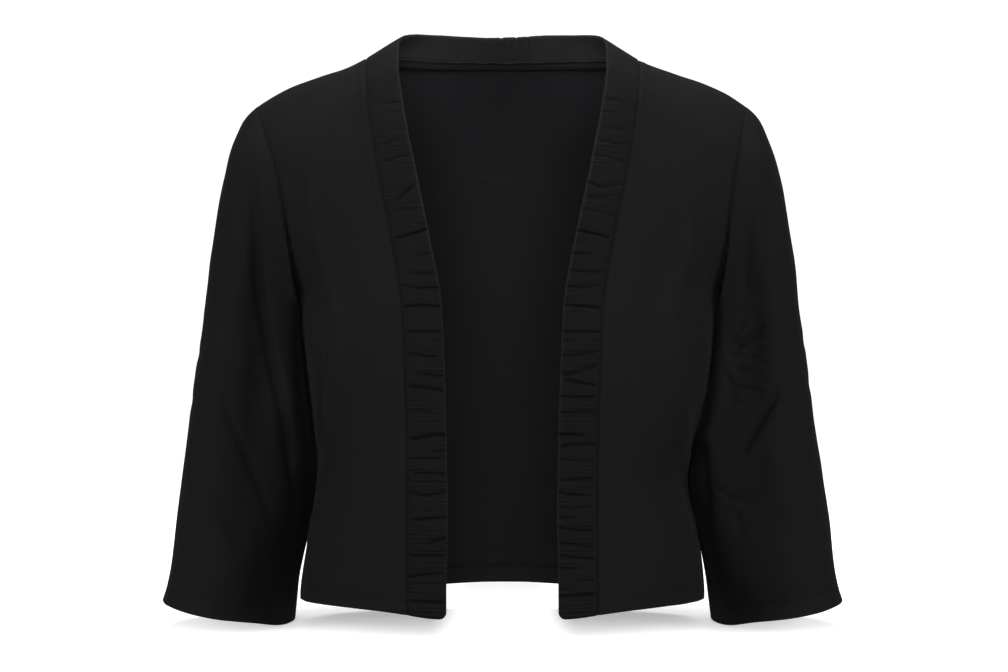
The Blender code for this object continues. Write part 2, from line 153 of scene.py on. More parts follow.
SIDE_SEAM = table(
    Cross,
    TURN,
    (164.5, 2, -440.8, 90, 78, 6), (163.8, 2, -425.3, 90, 78, 5), (163.6, 2, -423.3, 90, 78, 5),
    (158, 2, -364.5, 90, 76, 1), (156.5, 2, -307.5, 90, 74), (157.5, 1, -252.5, 90, 70),
    (159.5, 0, -207.5, 90, 62),
)
FRONT_ARMHOLE = table(
    Cross,
    TURN,
    (162, -34, -189.5, 68, 44), (166.5, -51.5, -152.5, 48, 30), (175, -50, -112.5, 25, 25, 1),
    (186, -33, -71.5, 6, 26, 4),
)
BACK_ARMHOLE = table(
    Cross,
    TURN,
    (163.5, 36, -189.5, -68, 44), (170.5, 53, -152.5, -48, 30), (179, 51, -112.5, -25, 25, 1),
    (188, 34, -71.5, -6, 26, 4),
)
BACK_RISE = table(
    Cross,
    TURN,
    (90, 94.5, -440.5, -17, 32), (89.7, 94, -423, -17, 32), (89.7, 94, -421, -17, 32),
    (85, 88, -363.5, -17, 30), (84.5, 87.2, -304.5, -17, 30), (87, 90, -249.5, -17, 30),
    (91, 92.5, -202.5, -18, 30), (97, 90.5, -155, -18, 28), (103, 83, -110.5, -18, 26),
    (110, 66, -65, -17, 24), (116, 37, -23.5, -16, 24),
) + (NECK_CORNER,)
RISE_TO_NECK = (
    *BACK_RISE[:-3],
    BACK_RISE[-3]._replace(turn=-20),
    BACK_RISE[-2]._replace(turn=-38, run=27 * MM),
    NECK_CORNER._replace(turn=-82, run=30 * MM),
    PAST_BACK_RISE._replace(turn=-110, run=30 * MM),
)
CENTRE_BACK = table(
    Cross,
    TURN,
    (0, 106, -440.3, 0, 45), (0, 105.5, -422.8, 0, 45), (0, 105.4, -420.8, 0, 45), (0, 99, -363.5, 0, 45),
    (0, 98.5, -302.5, 0, 45), (0, 102, -247.5, 0, 45), (0, 105, -200.5, 0, 45), (0, 104.5, -152.5, 0, 45),
    (0, 100, -107.5, 0, 45), (0, 89.5, -62.5, 0, 45), (0, 74.5, -25.5, 0, 48), (0, 60, 0.5, 0, 56),
)
BAND_FOLD = table(
    Place,
    (),
    (42.8, -133, -441.5), (42.6, -133.2, -428), (42.6, -133.2, -426), (41.6, -135, -364.5),
    (42.5, -137, -302.5), (44.2, -137.5, -243.5), (47.2, -134, -196.5), (57, -121.5, -146.5),
    (68, -96, -95.5), (78.8, -62, -42.5), (84.2, -31, -4.5), (82, 0, 18),
)
NECK_FOLD = table(Place, (), (56, 28.5, 24), (0, 36, 23), (-56, 28.5, 24))
SLEEVE_RINGS = table(
    Ring,
    (7,),
    (195, -35.7, 159.5, -207.5, 0, 53, 0, 1), (209, -49.2, 160, -208, 0, 57, 8, 0.6),
    (228.5, -99, 159, -214, 0, 60, 26, 0.2), (238.5, -160, 158.4, -230.5, -2, 62, 38, 0),
    (246, -231.5, 158, -264.5, -6, 62, 44, 0), (254.8, -302.5, 160, -317.5, -10, 61, 44, 0),
    (263.4, -367.5, 161.2, -376, -12, 62, 44, 0), (271.7, -427, 171, -442, -13, 64, 34, 0),
    (272.1, -429, 171.2, -444, -13, 64, 34, 0), (276.2, -443, 172, -459, -14, 67, 30, 0),
)


# ---------------------------------------------------------------------------------------- points and curves


class Side(Enum):
    """A side of the garment, as the wearer has it."""

    LEFT = 1.0
    RIGHT = -1.0

    def turned(self, grid: Points) -> Points:
        """Return a grid of the wearer's left where this side has it."""
        return grid * np.array([self.value, 1.0, 1.0])

    def named(self, piece: str) -> str:
        """Return the name that a piece has on this side."""
        return f"{piece}_{self.name.lower()}"


def unit(vectors: Points) -> Points:
    """Return the vectors at length 1."""
    return vectors / np.maximum(np.linalg.norm(vectors, axis=-1, keepdims=True), 1e-12)


def dot(one: Points, other: Points) -> Points:
    """Return the dot products of matching vectors, with the last axis kept."""
    return (one * other).sum(axis=-1, keepdims=True)


def step_up(values: Points, low: float, high: float) -> Points:
    """Return 0 below low, 1 above high and a smooth step between them."""
    share = np.clip((values - low) / (high - low), 0.0, 1.0)
    return share * share * (3 - 2 * share)


def bump(values: Points, width: float) -> Points:
    """Return a round bump of height 1 at 0, which is almost gone at two widths."""
    return np.exp(-((values / width) ** 2))


def spread(steps: Sequence[Step]) -> Points:
    """Return the places of the mesh rows along a table, counted in the table's rows.

    Args:
        steps: for each row of the table but the last, how many mesh rows lie before the next one, or the
            shares of the way to it where they lie.
    """
    places: list[float] = []
    for start, step in enumerate(steps):
        shares = [i / step for i in range(step)] if isinstance(step, int) else step
        places += [start + share for share in shares]
    return np.array(places + [float(len(steps))])


def crowded(count: int, low: float = 0.0) -> Points:
    """Return the places of columns from 0 to 1, closer together beside a seam.

    Args:
        count: how many steps there are.
        low: 0 where there is a seam at both ends, and 0.5 where there is one at the last end only.
    """
    share = np.linspace(low, 1.0, count + 1)
    eased = share - EDGE_CROWDING * np.sin(2 * math.pi * share) / (2 * math.pi)
    return (eased - low) / (1.0 - low)


def smooth_line(rows: Sequence[Sequence[float]], places: Points) -> Points:
    """Return values of the smooth line through a table's rows.

    Args:
        rows: the rows of numbers, whose first three say how far apart they are.
        places: where the values are wanted, counted in rows.
    """
    rows = np.array(rows, dtype=float)
    gaps = np.linalg.norm(np.diff(rows[:, :3], axis=0), axis=1)[:, None]
    slopes = np.diff(rows, axis=0) / gaps
    tangents = np.empty_like(rows)
    tangents[1:-1] = (slopes[:-1] * gaps[1:] + slopes[1:] * gaps[:-1]) / (gaps[:-1] + gaps[1:])
    tangents[0] = 2 * slopes[0] - tangents[1]
    tangents[-1] = 2 * slopes[-1] - tangents[-2]
    low = np.clip(np.floor(places).astype(int), 0, len(rows) - 2)
    part = (places - low)[:, None]
    gap = gaps[low]
    return (
        rows[low] * (1 + 2 * part) * (1 - part) ** 2
        + rows[low + 1] * (3 - 2 * part) * part**2
        + tangents[low] * gap * part * (1 - part) ** 2
        - tangents[low + 1] * gap * part**2 * (1 - part)
    )


def loft(starts: Points, ends: Points, across: Points) -> Points:
    """Return a grid between two lines of the cut, each row a cubic curve that leaves both as they say.

    Args:
        starts: the first line's crosses, one for each row.
        ends: the last line's crosses.
        across: the places of the columns, from 0 to 1.
    """
    span = ends[:, :3] - starts[:, :3]
    slope = span[:, 2] / np.hypot(span[:, 0], span[:, 1])

    def pull(crosses: Points, way: float) -> Points:
        """Return the curves' second points, by the heading that each cross gives."""
        turn = np.radians(crosses[:, 3])
        heading = np.stack([np.cos(turn), np.sin(turn), slope], axis=1) * crosses[:, 4:5]
        return crosses[:, :3] + way * heading + np.array([[0.0, 0.0, 1.0]]) * crosses[:, 5:6]

    t = across[None, :, None]
    return (
        starts[:, None, :3] * (1 - t) ** 3
        + pull(starts, 1)[:, None] * 3 * t * (1 - t) ** 2
        + pull(ends, -1)[:, None] * 3 * t**2 * (1 - t)
        + ends[:, None, :3] * t**3
    )


def straight_across(starts: Points, ends: Points, across: Points) -> Points:
    """Return a grid on straight lines from one edge to another."""
    t = across[None, :, None]
    return starts[:, None] * (1 - t) + ends[:, None] * t


def along_rows(grid: Points, places: Points) -> Points:
    """Return a grid's values between its rows, at places counted in rows."""
    low = np.clip(np.floor(places).astype(int), 0, len(grid) - 2)
    part = (places - low).reshape(-1, *[1] * (grid.ndim - 1))
    return grid[low] * (1 - part) + grid[low + 1] * part


def lengths(grid: Points, axis: int = 0) -> Points:
    """Return how far along an axis of a line or a grid each of its points lies."""
    steps = np.linalg.norm(np.diff(grid, axis=axis), axis=-1).cumsum(axis=axis)
    return np.concatenate([np.zeros_like(steps.take([0], axis=axis)), steps], axis=axis)


# ---------------------------------------------------------------------------------------- how it hangs


class Level(NamedTuple):
    """A level of the armhole and side seam: where the cut has it, and how far out of that it hangs."""

    z: float
    x: float
    out: float


class Pull(NamedTuple):
    """A soft pull on the cloth as seen from the front: its place, its reach and how far it moves it."""

    x: float
    z: float
    reach_x: float
    reach_z: float
    out: float
    down: float


@dataclass(frozen=True)
class Hang:
    """How one side of the garment hangs off its cut."""

    levels: tuple[Level, ...]
    pulls: tuple[Pull, ...]
    reach: float = 0.042

    def shifted(self, points: Points) -> Points:
        """Return points of the cut, on the wearer's left, where they hang."""
        x, z = points[..., 0], points[..., 2]
        height, seam, out = np.array(self.levels).T
        fine = np.linspace(height[0], height[-1], 240)
        values = np.interp(fine, height, out)
        for _ in range(30):
            values[1:-1] = (values[:-2] + 2 * values[1:-1] + values[2:]) / 4
        moved = points.copy()
        moved[..., 0] += np.interp(z, fine, values) * bump(x - np.interp(z, height, seam), self.reach)
        for pull in (*BOTH_PULLS, *self.pulls):
            share = bump(x - pull.x, pull.reach_x) * bump(z - pull.z, pull.reach_z)
            moved[..., 0] += pull.out * share
            moved[..., 2] -= pull.down * share
        return moved


BOTH_PULLS = table(
    Pull,
    (),
    (196, -40, 24, 22, 3, 4), (56, -442, 26, 50, 0, 1.8), (179, -452, 14, 24, -1.2, 2.8),
    (268, -440, 28, 24, 0, -2),
)
HANGS = {
    Side.LEFT: Hang(
        table(
            Level,
            (),
            (-445, 165, 1.4), (-425, 163, 0.6), (-405, 162, 0.8), (-379, 159, -1.6), (-357.5, 158, -6.4),
            (-339, 156.5, -10), (-322, 156.5, -5), (-296, 157, 4), (-278, 157, 8.6), (-260, 157.5, 11.2),
            (-235, 158, 14), (-218, 159, 15), (-197, 160, 14.4), (-177, 163, 13), (-153, 166.5, 12),
            (-133, 170, 9.6), (-100.5, 178, 7.2), (-65, 188, 5.2), (-40, 194, 2), (-20, 195, 0),
        ),
        table(
            Pull,
            (),
            (160, -442, 30, 40, 0, 1), (166, -443, 9, 12, -0.9, -1.2), (213, -62, 18, 22, -3.6, 0),
            (228, -100, 22, 40, -1.7, 0), (243, -205, 22, 32, -1.3, 0),
        ),
    ),
    Side.RIGHT: Hang(
        table(
            Level,
            (),
            (-445, 165, 0.8), (-425, 163, 0.2), (-405, 162, -0.4), (-379, 159, -1.6), (-357.5, 158, -3.6),
            (-329, 156.5, -5.8), (-300.5, 156.5, -2.6), (-269, 157, 1), (-235, 158, 3.8), (-210, 159.5, 5),
            (-185, 162, 4), (-152, 166.5, 3.4), (-130, 170, 1.8), (-100, 178, 0.4), (-74, 187, 2.4),
            (-50, 191, 3.6), (-20, 195, 0),
        ),
        table(
            Pull,
            (),
            (162, -442, 30, 40, 0, 1.4), (166, -443, 9, 12, -0.9, -1.2), (211, -60, 16, 18, -2.6, 0),
            (172, -25, 30, 22, 0, -1.5),
        ),
    ),
}


# ---------------------------------------------------------------------------------------- what cloth does


@dataclass(frozen=True)
class Unevenness:
    """The gentle unevenness of soft cloth: many long shallow waves in fixed directions."""

    seed: int = 11
    count: int = 26
    longest: float = 0.130
    shortest: float = 0.022
    depth: float = 0.00050
    upright: float = 0.45  # how steeply the waves may lean over, so that most of them run down the cloth

    def relief(self, points: Points) -> Points:
        """Return how far the cloth stands out at each point."""
        random = np.random.default_rng(self.seed)
        total = np.zeros(points.shape[:-1])
        weight = 0.0
        for wave in np.geomspace(self.longest, self.shortest, self.count):
            turn, lean, phase = random.uniform(0, 2 * math.pi, 3)
            direction = unit(np.array([math.cos(turn), math.sin(turn), self.upright * math.sin(lean)]))
            size = wave / self.longest
            total += size * np.sin(2 * math.pi * (points @ direction) / wave + phase)
            weight += size * size / 2
        return total * self.depth / math.sqrt(weight)


class View(Enum):
    """A side that a fold is drawn on: the two axes seen, the axis looked along and the cloth's facing."""

    FRONT = (0, 2, 1, -1.0)
    BACK = (0, 2, 1, 1.0)
    LEFT = (1, 2, 0, 1.0)
    RIGHT = (1, 2, 0, -1.0)


@dataclass(frozen=True)
class Fold:
    """A fold laid along a given path that is drawn as seen from one side."""

    view: View
    width: float
    height: float  # below 0 in a trough
    lip: float  # how high the cloth piles up beside it, as a share of its height
    fade: float  # share of the path over which each end dies away
    path: tuple[tuple[float, float], ...]
    steep: float  # how many times narrower its second side is
    spacing: float = 0.003

    def lay(self, points: Points, normals: Points) -> Points:
        """Return places along the path on a grid that faces the view."""
        across, up, depth, sign = self.view.value
        last = len(self.path) - 1
        rough = smooth_line(self.path, np.linspace(0, last, 8 * (last + 1)))
        steps = max(6, int(lengths(rough)[-1] / self.spacing))
        candidates = points[normals[..., depth] * sign > 0.12]
        seen = candidates[:, [across, up]]
        path = smooth_line(self.path, np.linspace(0, last, steps))
        laid = candidates[[int(np.argmin(((seen - place) ** 2).sum(axis=1))) for place in path]]
        for _ in range(3):
            laid[1:-1] = (laid[:-2] + 2 * laid[1:-1] + laid[2:]) / 4
        return laid

    def relief(self, points: Points, normals: Points) -> Points:
        """Return how far the fold moves the cloth at each point of a grid."""
        laid = self.lay(points, normals)
        flat = points.reshape(-1, 3)
        nearest = np.linalg.norm(flat[:, None, :] - laid[None, :, :], axis=2).argmin(axis=1)
        tangents = unit(np.gradient(laid, axis=0))
        square = np.cross(tangents[nearest], flat - laid[nearest])
        distance = np.linalg.norm(square, axis=1)
        side = (square * normals.reshape(-1, 3)).sum(axis=1)
        ratio = (distance / np.where(side > 0, self.width / self.steep, self.width)) ** 2
        ahead = dot(flat - laid[nearest], tangents[nearest])[:, 0]
        share = np.clip(nearest / (len(laid) - 1) + ahead / lengths(laid)[-1], 0.0, 1.0)
        ends = step_up(share, 0.0, self.fade) * step_up(1 - share, 0.0, self.fade)
        shape = (1 - self.lip * 2 * ratio) * np.exp(-ratio)
        return (self.height * shape * ends).reshape(points.shape[:-1])


def folds(view: View, *rows: tuple, steep: float = 1.0) -> tuple[Fold, ...]:
    """Return folds from rows of width, height, lip, fade and the path's points, lengths in millimetres."""
    return tuple(
        Fold(view, width * MM, height * MM, lip, fade, tuple((a * MM, b * MM) for a, b in path), steep)
        for width, height, lip, fade, *path in rows
    )


@dataclass(frozen=True)
class Puckers:
    """The short ripples that a seam or a row of stitches draws into cloth."""

    depth: float
    length: float  # from one ripple to the next
    reach: float  # how far from the seam they die away

    def relief(self, along: Points, away: Points) -> Points:
        """Return the ripples' height, by how far along the seam and away from it the cloth lies."""
        phase = 2 * math.pi * along / self.length
        wave = np.sin(phase + 1.7 * np.sin(phase * 0.223) + 0.9 * np.sin(phase * 0.391 + 1.0))
        size = 0.62 + 0.38 * np.sin(phase * 0.137 + 0.6)
        return self.depth * wave * size * np.exp(-np.abs(away) / self.reach)


# ---------------------------------------------------------------------------------------- finishes


class Value:
    """A number or a colour in a shader; Python's operators on it add Math nodes."""

    def __init__(self, tree: "Tree", socket: bpy.types.NodeSocket) -> None:
        """Wrap one output socket of a tree."""
        self.tree = tree
        self.socket = socket

    def _math(self, operation: str, *values: object) -> "Value":
        """Return the outcome of one Math node."""
        return self.tree.out("ShaderNodeMath", {"operation": operation}, dict(enumerate(values)))

    def __add__(self, other: object) -> "Value":
        """Return the sum."""
        return self._math("ADD", self, other)

    __radd__ = __add__

    def __sub__(self, other: object) -> "Value":
        """Return the difference."""
        return self._math("SUBTRACT", self, other)

    def __rsub__(self, other: object) -> "Value":
        """Return the difference, turned round."""
        return self._math("SUBTRACT", other, self)

    def __mul__(self, other: object) -> "Value":
        """Return the product."""
        return self._math("MULTIPLY", self, other)

    __rmul__ = __mul__

    def __truediv__(self, other: object) -> "Value":
        """Return the quotient."""
        return self._math("DIVIDE", self, other)

    def fraction(self) -> "Value":
        """Return the part after the decimal point."""
        return self._math("FRACT", self)

    def size(self) -> "Value":
        """Return the value without its sign."""
        return self._math("ABSOLUTE", self)

    def sine(self) -> "Value":
        """Return the sine."""
        return self._math("SINE", self)


class Tree:
    """A new material's nodes."""

    def __init__(self, name: str) -> None:
        """Start from the material's own shader and the place on the object."""
        self.material = bpy.data.materials.new(name)
        self.material.use_nodes = True
        self.nodes = self.material.node_tree.nodes
        self.shader = self.nodes["Principled BSDF"]
        self.place = self.out("ShaderNodeTexCoord", {}, {}, "Object")

    def node(self, kind: str, settings: dict[str, object], sockets: dict[object, object]) -> bpy.types.Node:
        """Add a node.

        Args:
            kind: the node's type.
            settings: its own settings, set before its sockets.
            sockets: a value, or the Value that feeds it, for each input by name or number.

        Returns:
            The new node.
        """
        node = self.nodes.new(kind)
        for name, value in settings.items():
            setattr(node, name, value)
        self.feed(node, sockets)
        return node

    def out(
        self, kind: str, settings: dict[str, object], sockets: dict[object, object], output: object = 0
    ) -> Value:
        """Add a node and return one of its outputs."""
        return Value(self, self.node(kind, settings, sockets).outputs[output])

    def feed(self, node: bpy.types.Node, sockets: dict[object, object]) -> None:
        """Link Values to a node's sockets, and set the others to plain values."""
        for name, value in sockets.items():
            if isinstance(value, Value):
                self.material.node_tree.links.new(value.socket, node.inputs[name])
            else:
                node.inputs[name].default_value = value

    def split(self, vector: Value) -> tuple[Value, Value]:
        """Return a vector's first two parts."""
        parts = self.node("ShaderNodeSeparateXYZ", {}, {0: vector}).outputs
        return Value(self, parts[0]), Value(self, parts[1])

    def noise(self, scale: float, detail: float) -> Value:
        """Return noise of a scale in features a metre."""
        return self.out("ShaderNodeTexNoise", {}, {"Vector": self.place, "Scale": scale, "Detail": detail})

    def bump(self, height: Value, strength: float, distance: float, **under: Value) -> Value:
        """Return the normal over a relief, which may lie on top of another Normal."""
        sockets = {"Strength": strength, "Distance": distance, "Height": height, **under}
        return self.out("ShaderNodeBump", {}, sockets)

    def mix(self, share: object, first: object, second: object, how: str = "MIX") -> Value:
        """Return a mix of two colours."""
        settings = {"data_type": "RGBA", "blend_type": how}
        return self.out("ShaderNodeMix", settings, {0: share, 6: first, 7: second}, 2)

    def ramp(self, value: Value, ends: tuple[float, float], results: tuple[float, float]) -> Value:
        """Return a smooth ramp from one result to another."""
        sockets = dict(enumerate((value, *ends, *results)))
        return self.out("ShaderNodeMapRange", {"interpolation_type": "SMOOTHSTEP"}, sockets)


@dataclass(frozen=True)
class Jersey:
    """Fine black jersey: vertical wales of small stitches, a soft nap that catches light at the edges."""

    name: str
    slot: str
    colour: Colour
    worn: Colour  # where the nap is brushed the other way
    roughness: float = 0.78
    sheen: float = 0.018
    sheen_roughness: float = 0.28
    sheen_tint: Colour = (0.90, 0.95, 1.0)
    gloss: float = 0.08
    wale: float = 0.00072  # width of one column of stitches
    course: float = 0.00052  # height of one row of stitches
    knit_depth: float = 0.00011
    nap_depth: float = 0.00006
    rim: float = 0.0  # how far across the cut the folded rim begins, where the colour is made paler: a painted highlight along the rim
    painted_highlight_width: float = 0.0012
    painted_highlight_gain: Colour = (1.8, 1.8, 1.872)

    def material(self) -> bpy.types.Material:
        """Make the finish."""
        tree = Tree(self.name)
        cut_across, cut_along = tree.split(tree.out("ShaderNodeUVMap", {"uv_map": Shell.UV_NAME}, {}))
        across = cut_across / self.wale
        along = cut_along / self.course
        leg = (across.fraction() - 0.5).size()
        loop = ((along + leg * 1.6) * (2 * math.pi)).sine()
        knit = (1 - leg * leg * 4) * 0.65 + loop * 0.22
        nap = tree.noise(1900.0, 3.0)
        cloud = tree.noise(17.0, 3.0)
        speckle = tree.noise(420.0, 2.0)
        share = cloud * 0.6 + speckle * 0.25 + knit * 0.15
        colour = tree.mix(share, (*self.worn, 1.0), (*self.colour, 1.0))
        # Painted highlight: the colour is made paler along the band's folded rim, where light would catch the
        # edge.
        if self.rim:
            painted_highlight_colour = tree.mix(1.0, colour, (*self.painted_highlight_gain, 1.0), "MULTIPLY")
            on_painted_highlight = tree.ramp(cut_across, (self.rim, self.rim + self.painted_highlight_width), (0.0, 1.0))
            colour = tree.mix(on_painted_highlight, colour, painted_highlight_colour)
        sockets = {
            "Base Color": colour,
            "Roughness": self.roughness + (speckle - 0.5) * 0.14,
            "Normal": tree.bump(nap, 0.6, self.nap_depth, Normal=tree.bump(knit, 0.55, self.knit_depth)),
            "Sheen Weight": self.sheen,
            "Sheen Roughness": self.sheen_roughness,
            "Sheen Tint": (*self.sheen_tint, 1.0),
            "Specular IOR Level": self.gloss,
        }
        tree.feed(tree.shader, sockets)
        return tree.material


@dataclass(frozen=True)
class Thread:
    """Black spun sewing thread: a little smoother and brighter than the jersey."""

    name: str
    slot: str
    colour: Colour = (0.0050, 0.0050, 0.0058)
    roughness: float = 0.7
    ply: float = 0.0006  # length of one turn of the thread's plies
    bright: float = 1.5  # how much brighter the fibres' tops are

    def material(self) -> bpy.types.Material:
        """Make the finish."""
        tree = Tree(self.name)
        fibre = tree.noise(1 / self.ply, 2.0)
        tops = tuple(self.bright * part for part in self.colour)
        sockets = {
            "Base Color": tree.mix(fibre, (*self.colour, 1.0), (*tops, 1.0)),
            "Roughness": self.roughness + fibre * 0.1,
            "Normal": tree.bump(fibre, 0.5, 0.00005),
            "Specular IOR Level": 0.10,
        }
        tree.feed(tree.shader, sockets)
        return tree.material


@dataclass(frozen=True)
class StudioWhite:
    """The studio's white, which glows so that it stays white; on the floor the glow paints shade under the
    garment, light through its opening and shadow behind.
    """

    name: str
    near: float = 0.36  # how much it glows under the garment, a painted shade that deepens its shadows there
    near_reach: float = 0.05
    far_reach: float = 0.30
    opening: tuple[float, float] = (0.030, 0.062)  # where the painted light seen through the open front ends
    behind: tuple[float, float] = (0.10, 0.28)  # and where it fades towards the back, into a painted shadow behind the garment
    # how much it glows in that strip behind the garment: a painted shadow
    painted_shadow_glow: float = 0.15
    middle: Colour = (0.0, 0.09, 0.0)
    shape: Colour = (0.55, 1.0, 0.0)

    def material(self) -> bpy.types.Material:
        """Make the finish."""
        tree = Tree(self.name)
        offset = tree.out("ShaderNodeVectorMath", {"operation": "SUBTRACT"}, {0: tree.place, 1: self.middle})
        shaped = tree.out("ShaderNodeVectorMath", {"operation": "MULTIPLY"}, {0: offset, 1: self.shape})
        away = tree.out("ShaderNodeVectorMath", {"operation": "LENGTH"}, {0: shaped}, "Value")
        # Painted shade: the glow is weaker under the garment; painted light: full in a strip seen through the
        # open front, and a painted shadow where that strip runs behind the garment.
        glow = tree.ramp(away, (self.near_reach, self.far_reach), (self.near, 1.0))
        x, y = tree.split(tree.place)
        centre = tree.ramp(x.size(), self.opening, (1.0, 0.0))
        lit = tree.ramp(y, self.behind, (1.0, self.painted_shadow_glow))
        close = tree.ramp(away, (self.far_reach, 2 * self.far_reach), (1.0, 0.0))
        glow = glow + (lit - glow) * centre * close
        sockets = {
            "Base Color": (0.90, 0.90, 0.90, 1.0),
            "Roughness": 0.9,
            "Specular IOR Level": 0.0,
            "Emission Color": tree.out("ShaderNodeCombineXYZ", {}, {0: glow, 1: glow, 2: glow}),
            "Emission Strength": 1.0,
        }
        tree.feed(tree.shader, sockets)
        return tree.material


# Body, sleeves and band are one jersey; the sleeves' and the band's colours are set darker, painted shade for
# how dark they look under these lights.
BODY_COLOURS = (0.0058, 0.0058, 0.0068), (0.0078, 0.0078, 0.0090)
SLEEVE_COLOURS = (0.0054, 0.0054, 0.0063), (0.0074, 0.0074, 0.0085)
BAND_COLOURS = (0.0045, 0.0045, 0.0053), (0.0063, 0.0063, 0.0073)
# The insides' colours are the jersey made lighter, painted light for the light that reaches the garment's
# inside; the neck band's inside is lighter still.
INSIDE_LIGHTENED_COLOURS = (0.0154, 0.0154, 0.0174), (0.0194, 0.0194, 0.0219)
NECK_INSIDE_LIGHTENED_COLOURS = (0.0250, 0.0250, 0.0273), (0.0323, 0.0323, 0.0351)


@dataclass
class Wardrobe:
    """Every finish, each made once."""

    body: Jersey = Jersey("body_jersey_cloth", "body_jersey", *BODY_COLOURS)
    sleeve: Jersey = Jersey("sleeve_jersey_cloth", "sleeve_jersey", *SLEEVE_COLOURS)
    # The band's finish paints a highlight along its folded rim (rim).
    band: Jersey = Jersey(
        "band_jersey_cloth", "band_jersey", *BAND_COLOURS, wale=0.00064, sheen=0.030, rim=0.0293
    )
    neck: Jersey = Jersey("neck_band_jersey_cloth", "band_jersey", *BAND_COLOURS, wale=0.00064)
    # The inside finishes are lighter copies of the jersey: painted light.
    inside: Jersey = Jersey("inside_jersey_painted_light", "body_jersey", *INSIDE_LIGHTENED_COLOURS, knit_depth=0.00014)
    neck_inside: Jersey = Jersey("neck_inside_jersey_painted_light", "band_jersey", *NECK_INSIDE_LIGHTENED_COLOURS)
    made: dict[str, bpy.types.Material] = field(default_factory=dict)

    def dress(self, piece: bpy.types.Object, *finishes: Union[Jersey, Thread]) -> bpy.types.Object:
        """Give a piece its finishes, and let it ride on the body.

        Args:
            piece: the new object.
            finishes: what its faces are made of, by their material's number.

        Returns:
            The same object.
        """
        for finish in finishes:
            if finish.name not in self.made:
                self.made[finish.name] = finish.material()
            piece.data.materials.append(self.made[finish.name])
        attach(piece, BODY)
        LOG.info("%s: %d faces", piece.name, len(piece.data.polygons))
        return piece


# ---------------------------------------------------------------------------------------- shells of cloth


def add_mesh(name: str, points: Points, faces: Points, uv: Points | None = None) -> bpy.types.Object:
    """Add a mesh object with smooth shading.

    Args:
        name: the object's name.
        points: its vertices.
        faces: its faces, each four numbers of vertices.
        uv: a place on the flat cut for every vertex.

    Returns:
        The new object.
    """
    data = bpy.data.meshes.new(name)
    data.from_pydata(points.tolist(), [], faces.tolist())
    if uv is not None:
        corners = np.empty(len(data.loops), dtype=np.int32)
        data.loops.foreach_get("vertex_index", corners)
        layer = data.uv_layers.new(name=Shell.UV_NAME)
        layer.data.foreach_set("uv", uv[corners].astype(np.float32).ravel())
    data.shade_smooth()
    data.validate()
    item = bpy.data.objects.new(name, data)
    bpy.context.scene.collection.objects.link(item)
    return item


@dataclass
class Shell:
    """A piece of cloth on the cut's form: its outer face as a grid, and what the cloth does on it."""

    UV_NAME = "cut"

    outer: Points
    facing: float  # 1 where columns crossed with rows point out of the garment, or -1
    closed: bool = False  # the last column meets the first one
    normals: Points = field(default_factory=lambda: np.zeros(0))

    def __post_init__(self) -> None:
        """Start with plain cloth."""
        self.relief = np.zeros(self.outer.shape[:2])
        self.thickness = np.zeros(self.outer.shape[:2])

    def own_normals(self) -> Points:
        """Return the sums of the shell's own face normals at each point, at length 1."""
        grid = np.concatenate([self.outer, self.outer[:, :1]], axis=1) if self.closed else self.outer
        faces = np.cross(grid[1:, 1:] - grid[:-1, :-1], grid[1:, :-1] - grid[:-1, 1:]) * self.facing
        sums = np.zeros_like(grid)
        for rows in (slice(None, -1), slice(1, None)):
            for columns in (slice(None, -1), slice(1, None)):
                sums[rows, columns] += faces
        if self.closed:
            sums[:, 0] += sums[:, -1]
            sums = sums[:, :-1]
        return unit(sums)

    def from_edges(self) -> dict[str, Points]:
        """Return how far each point lies from the first and last column and the first and last row."""
        across, along = lengths(self.outer, 1), lengths(self.outer, 0)
        return {
            "first_column": across,
            "last_column": across[:, -1:] - across,
            "first_row": along,
            "last_row": along[-1:] - along,
        }

    def faces_out(self) -> tuple[Points, Points]:
        """Return the finished outer and inner grids."""
        outer = self.outer + self.normals * self.relief[..., None]
        return outer, outer - self.normals * self.thickness[..., None]

    def round_off(self, share: Points) -> None:
        """Round a folded edge, by each point's share of the way in from it to full thickness."""
        full = np.sqrt(1 - (1 - share) ** 2)
        self.relief -= (1 - full) * self.thickness / 2
        self.thickness *= full

    def add(self, name: str, side: Side) -> bpy.types.Object:
        """Add the shell as one closed mesh, with places on the flat cut across and along the wales."""
        rows, columns = self.outer.shape[:2]
        across, along = lengths(self.outer[rows // 2]), lengths(self.outer[:, columns // 2])
        flat = np.stack(np.broadcast_arrays(across[None, :], along[:, None]), axis=-1)
        outer, inner = (side.turned(face) for face in self.faces_out())
        return closed_shell(name, outer, inner, flat, self.closed, self.facing * side.value)


def closed_shell(
    name: str, outer: Points, inner: Points, flat: Points, closed: bool, facing: float
) -> bpy.types.Object:
    """Join an outer and an inner grid into one closed mesh, its inner faces with the second material.

    Args:
        name: the object's name.
        outer: the grid of points on the outer face.
        inner: the grid on the inner face.
        flat: the places of both on the flat cut.
        closed: whether the last column meets the first one.
        facing: above 0 where columns crossed with rows point out of the garment.

    Returns:
        The new object.
    """
    rows, columns = outer.shape[:2]
    number = np.arange(rows * columns).reshape(rows, columns)
    if closed:
        number = np.concatenate([number, number[:, :1]], axis=1)
    corners = [number[:-1, :-1], number[:-1, 1:], number[1:, 1:], number[1:, :-1]]
    quads = np.stack(corners, axis=-1).reshape(-1, 4)
    if facing < 0:
        quads = quads[:, ::-1]
    rims = []
    for edge in [number[0], number[-1][::-1]] + ([] if closed else [number[::-1, 0], number[:, -1]]):
        low, high = edge[:-1], edge[1:]
        rim = np.stack([high, low, low + rows * columns, high + rows * columns], axis=-1)
        rims.append(rim if facing > 0 else rim[:, ::-1])
    faces = np.concatenate([quads, quads[:, ::-1] + rows * columns, *rims])
    points = np.concatenate([outer.reshape(-1, 3), inner.reshape(-1, 3)])
    piece = add_mesh(name, points, faces, np.concatenate([flat.reshape(-1, 2)] * 2))
    second = np.zeros(len(faces), dtype=np.int32)
    second[len(quads) : 2 * len(quads)] = 1
    piece.data.polygons.foreach_set("material_index", second)
    return piece


